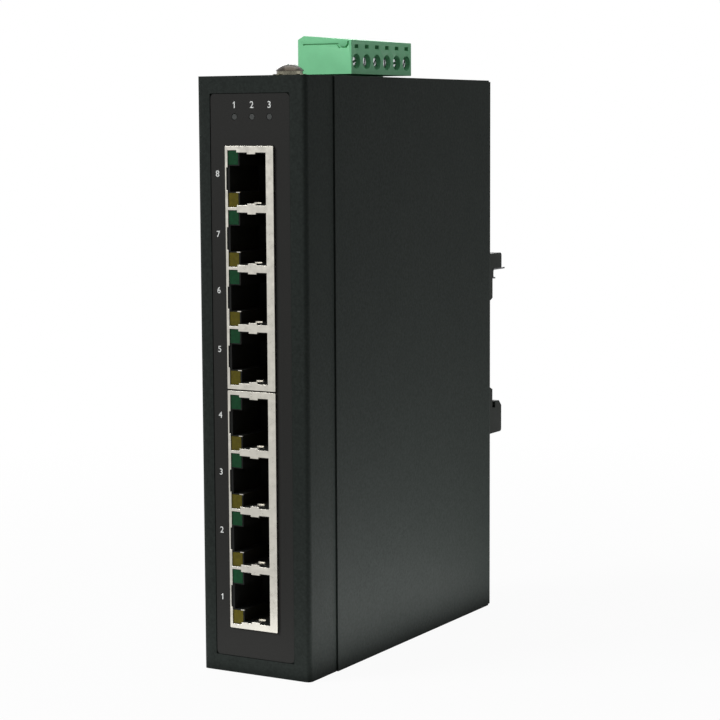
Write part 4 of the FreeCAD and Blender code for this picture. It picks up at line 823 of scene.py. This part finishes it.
def port_tabs(work):
    """A tab over each yellow lens, and a spring finger along the floor with its tip turned up."""
    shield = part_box("jack_shield_lower")[0]
    left, front = shield.x + FINGER_START, shield.y
    right, tip = left + FINGER_WIDTH, front + FINGER_REACH
    for port in PORTS:
        low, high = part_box(f"port_{port}_yellow_lamp")
        face = low.y - LENS_PROUD
        block(
            work, (high.x - TAB_LEFT, face - TAB_PROUD, high.z + TAB_GAP),
            (high.x + TAB_RIGHT, face + TAB_SUNK, high.z + TAB_GAP + TAB_THICK),
        )
        level = (low.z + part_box(f"port_{port}_green_lamp")[1].z) / 2
        floor = level - PORT_FLOOR
        block(work, (left, front + FINGER_ROOT, floor + FINGER_LOW), (right, tip, floor + FINGER_HIGH))
        block(work, (left, tip, floor + FINGER_LOW), (right, tip + TIP_THICK, floor + TIP_HIGH))


new_piece("port_tabs", "switch", "tinned_steel", port_tabs)
print("blocks of tabs and fingers:", 3 * len(PORTS))

# %% [markdown]
# ## Printed marks
# White ink stands a hundredth of a millimetre on the film. An image could carry the print, but a thin solid
# stays sharp at any distance. Each number is a text curve, made a mesh and then moved to its place. The
# marks are plain numbers: one beside each port, one above each status lamp.

# %% Ink
ink = Finish("white_ink", srgb(196, 198, 196), 0.5)
ink.vary_color(ink.noise(0.0003, 2.0), 0.9, 1.05)
INK = ink.material
INK_THICK = 0.01 * MM
INK_WEIGHT = 0.012
CAPITAL_SHARE = 0.72
FLAG_LONG, FLAG_WIDE = 0.3, 0.13
FLAG_SIDE, FLAG_RISE = -0.13, 0.34
FLAG_TURN = math.radians(38)


def add_flag(mesh, height):
    """The short slanted stroke at the top of a 1, which the plain font lacks, in shares of its height."""
    work = bmesh.new()
    work.from_mesh(mesh)
    made = bmesh.ops.create_cube(work, size=1.0)["verts"]
    bmesh.ops.scale(work, vec=(height * FLAG_LONG, height * FLAG_WIDE, 1.8 * INK_THICK), verts=made)
    bmesh.ops.rotate(work, cent=(0, 0, 0), matrix=Matrix.Rotation(FLAG_TURN, 3, "Z"), verts=made)
    bmesh.ops.translate(work, vec=(height * FLAG_SIDE, height * FLAG_RISE, 0), verts=made)
    work.to_mesh(mesh)
    work.free()


def mark_mesh(text, height):
    """One mark about the origin, as a thin mesh that faces Z."""
    curve = bpy.data.curves.new("mark", "FONT")
    curve.body = text
    curve.size = height / CAPITAL_SHARE
    curve.align_x, curve.align_y = "CENTER", "CENTER"
    curve.extrude = INK_THICK
    curve.offset = height * INK_WEIGHT
    holder = linked("mark", curve)
    graph = bpy.context.evaluated_depsgraph_get()
    graph.update()
    mesh = bpy.data.meshes.new_from_object(holder.evaluated_get(graph))
    bpy.data.objects.remove(holder)
    if text == "1":
        add_flag(mesh, height)
    return mesh


def printed(name, marks, height):
    """Marks, (text, x, z) each, on the front of the film, facing the viewer."""
    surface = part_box("front_label")[0].y

    def build(work):
        for text, x, z in marks:
            mesh = mark_mesh(text, height)
            mesh.transform(Matrix.Translation((x, surface, z)) @ Matrix.Rotation(math.pi / 2, 4, "X"))
            work.from_mesh(mesh)
            bpy.data.meshes.remove(mesh)

    piece = linked(name, shaped(name, build))
    piece.data.materials.append(INK)
    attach(piece, "switch")
    print(name, [text for text, x, z in marks])


# %% [markdown]
# ## Port numbers
# A number stands left of each port. All but the first are a little above the middle of their ports, and not
# by the same length, so each number has its own rise, in millimetres.

# %% Port numbers
NUMBER_SIDE = 2.45 * MM
NUMBER_HIGH = 1.5 * MM
NUMBER_RISE = {8: 1.1, 7: 0.9, 6: 1.6, 5: 1.6, 4: 1.5, 3: 1.8, 2: 1.7, 1: -0.6}
numbers = []
for port in PORTS:
    low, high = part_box(f"port_{port}_contacts")
    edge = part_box("jack_shield_lower")[0].x
    numbers.append((str(port), edge - NUMBER_SIDE, (low.z + high.z) / 2 + NUMBER_RISE[port] * MM))
printed("port_numbers", numbers, NUMBER_HIGH)

# %% [markdown]
# ## Status marks
# The three status lamps stand side by side near the top. The leads of a lamp run off to the left, so the
# middle of its box isn't the middle of the lamp. Its flange reaches furthest right, so the middle lies one
# flange radius in from that edge.

# %% Status marks
STATUS_LAMPS = (1, 2, 3)
MARK_RISE = 2.7 * MM
MARK_HIGH = 1.6 * MM
FLANGE_RADIUS = 1.8 * MM


def status_lamp_x(lamp):
    """Where a status lamp's middle is, from left to right."""
    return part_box(f"status_lamp_{lamp}")[1].x - FLANGE_RADIUS


marks = []
for lamp in STATUS_LAMPS:
    low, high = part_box(f"status_lamp_{lamp}")
    marks.append((str(lamp), status_lamp_x(lamp), (low.z + high.z) / 2 + MARK_RISE))
printed("status_marks", marks, MARK_HIGH)

# %% [markdown]
# ## The label film
# The film is die cut, so its corners are rounder than the pressed recess behind it. Each small arc of the
# CAD outline grows about its corner. The film's opening is drawn in until it all but meets the shields,
# so that no dark gap shows between tin and film.

# %% Film corners and opening
CAD_ROUND = 0.3 * MM
FILM_ROUND = 1.1 * MM
FILM_GAP = 0.08 * MM
ROUND_SLACK = 0.01 * MM
OPENING_REACH = 0.8 * MM


def near(value, goal):
    """Whether a coordinate is close enough to a shield's outer face to belong to the opening's edge."""
    return abs(value - goal) < OPENING_REACH


def grow_corner(vert, x, z, side, up):
    """Carries a vertex of the film's corner arc at (x, z) out to the larger arc."""
    old = Vector((x + side * CAD_ROUND, z + up * CAD_ROUND))
    new = Vector((x + side * FILM_ROUND, z + up * FILM_ROUND))
    here = Vector((vert.co.x, vert.co.z))
    if (here.x - old.x) * side < ROUND_SLACK and (here.y - old.y) * up < ROUND_SLACK:
        moved = new + (here - old) * (FILM_ROUND / CAD_ROUND)
        vert.co.x, vert.co.z = moved.x, moved.y


def close_opening(vert, low, high):
    """Draws a vertex of the film's opening in to the shields, which reach from low to high."""
    for goal, sign in ((low, -1), (high, 1)):
        if near(vert.co.x, goal.x) and low.z - MM < vert.co.z < high.z + MM:
            vert.co.x = goal.x + sign * FILM_GAP
        if near(vert.co.z, goal.z) and low.x - MM < vert.co.x < high.x + MM:
            vert.co.z = goal.z + sign * FILM_GAP


def round_film(work):
    """Rounder corners, and the opening drawn in to the shields of the jacks."""
    low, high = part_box("front_label")
    jacks_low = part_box("jack_shield_lower")[0]
    jacks_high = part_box("jack_shield_upper")[1]
    for vert in work.verts:
        for x, side in ((low.x, 1), (high.x, -1)):
            for z, up in ((low.z, 1), (high.z, -1)):
                grow_corner(vert, x, z, side, up)
        close_opening(vert, jacks_low, jacks_high)


film = linked("front_label_finished", reshaped("front_label", round_film))
take_over(film, "front_label")
print("vertices of the film:", len(film.data.vertices))

# %% [markdown]
# ## Windows of the status lamps
# The film is clear but frosted where a lamp shines through it. A thin disc closes each window, a hair
# behind the film's face. A cone with two equal radii is a cylinder, so that operator makes the disc.

# %% Windows
DOT_RADIUS = 0.68 * MM
DOT_THICK = 0.12 * MM
DOT_SUNK = 0.03 * MM
DOT_SIDES = 24
film_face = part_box("front_label")[0].y


def lamp_dots(work):
    """A disc in each window, turned to face the viewer."""
    for lamp in STATUS_LAMPS:
        low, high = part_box(f"status_lamp_{lamp}")
        made = bmesh.ops.create_cone(
            work, cap_ends=True, segments=DOT_SIDES,
            radius1=DOT_RADIUS, radius2=DOT_RADIUS, depth=DOT_THICK,
        )["verts"]
        bmesh.ops.rotate(work, cent=(0, 0, 0), matrix=Matrix.Rotation(math.pi / 2, 3, "X"), verts=made)
        bmesh.ops.translate(work, verts=made, vec=(
            status_lamp_x(lamp), film_face + DOT_THICK / 2 + DOT_SUNK, (low.z + high.z) / 2,
        ))


frosted = Finish("frosted_film", srgb(54, 56, 55), 0.4, Specular_IOR_Level=0.2)
frosted.vary_color(frosted.noise(0.0003, 2.0), 0.75, 1.2)
FINISHES["frosted_film"] = frosted.material
dots = new_piece("status_windows", "switch", "frosted_film", lamp_dots)
print("windows:", len(STATUS_LAMPS))

# %% [markdown]
# ## The floor
# A pale sheet under the switch takes its shadow. Near the switch a little of the matt paper shows through
# white light, and with distance the white takes over, so that the sheet runs into the white backdrop. Only
# the rays that show the floor see the white, so it lights no matt surface.

# %% Floor
FLOOR_REACH = 3.0


def sheet(work):
    """A flat square at the height of the part's foot."""
    bmesh.ops.create_grid(work, x_segments=1, y_segments=1, size=FLOOR_REACH)
    bmesh.ops.translate(work, vec=(0, 0, CAD_BOX[0].z), verts=work.verts)


floor = linked("floor", shaped("floor", sheet))
print("floor:", 2 * FLOOR_REACH, "m square")

# %% Floor paper
PAPER_GREY = 0.5
FADE = {"From Min": 0.1, "From Max": 0.35, "To Min": 0.95, "To Max": 1.0}
paper = bpy.data.materials.new("floor_paper")
paper.use_nodes = True
tree = paper.node_tree
matt = tree.nodes["Principled BSDF"]
matt.inputs["Base Color"].default_value = (PAPER_GREY, PAPER_GREY, PAPER_GREY, 1.0)
matt.inputs["Roughness"].default_value = 0.9
matt.inputs["Specular IOR Level"].default_value = 0.0
white = tree.nodes.new("ShaderNodeEmission")
away = tree.nodes.new("ShaderNodeVectorMath")
away.operation = "LENGTH"
tree.links.new(tree.nodes.new("ShaderNodeTexCoord").outputs["Object"], away.inputs[0])
fade = tree.nodes.new("ShaderNodeMapRange")
for socket, value in FADE.items():
    fade.inputs[socket].default_value = value
tree.links.new(away.outputs["Value"], fade.inputs["Value"])
whiteness = tree.nodes.new("ShaderNodeMath")
whiteness.operation = "MULTIPLY"
tree.links.new(fade.outputs["Result"], whiteness.inputs[0])
tree.links.new(seen_rays(tree), whiteness.inputs[1])
mix = tree.nodes.new("ShaderNodeMixShader")
tree.links.new(whiteness.outputs[0], mix.inputs["Fac"])
tree.links.new(matt.outputs["BSDF"], mix.inputs[1])
tree.links.new(white.outputs["Emission"], mix.inputs[2])
tree.links.new(mix.outputs["Shader"], tree.nodes["Material Output"].inputs["Surface"])
floor.data.materials.append(paper)
print("fade of the floor:", FADE)
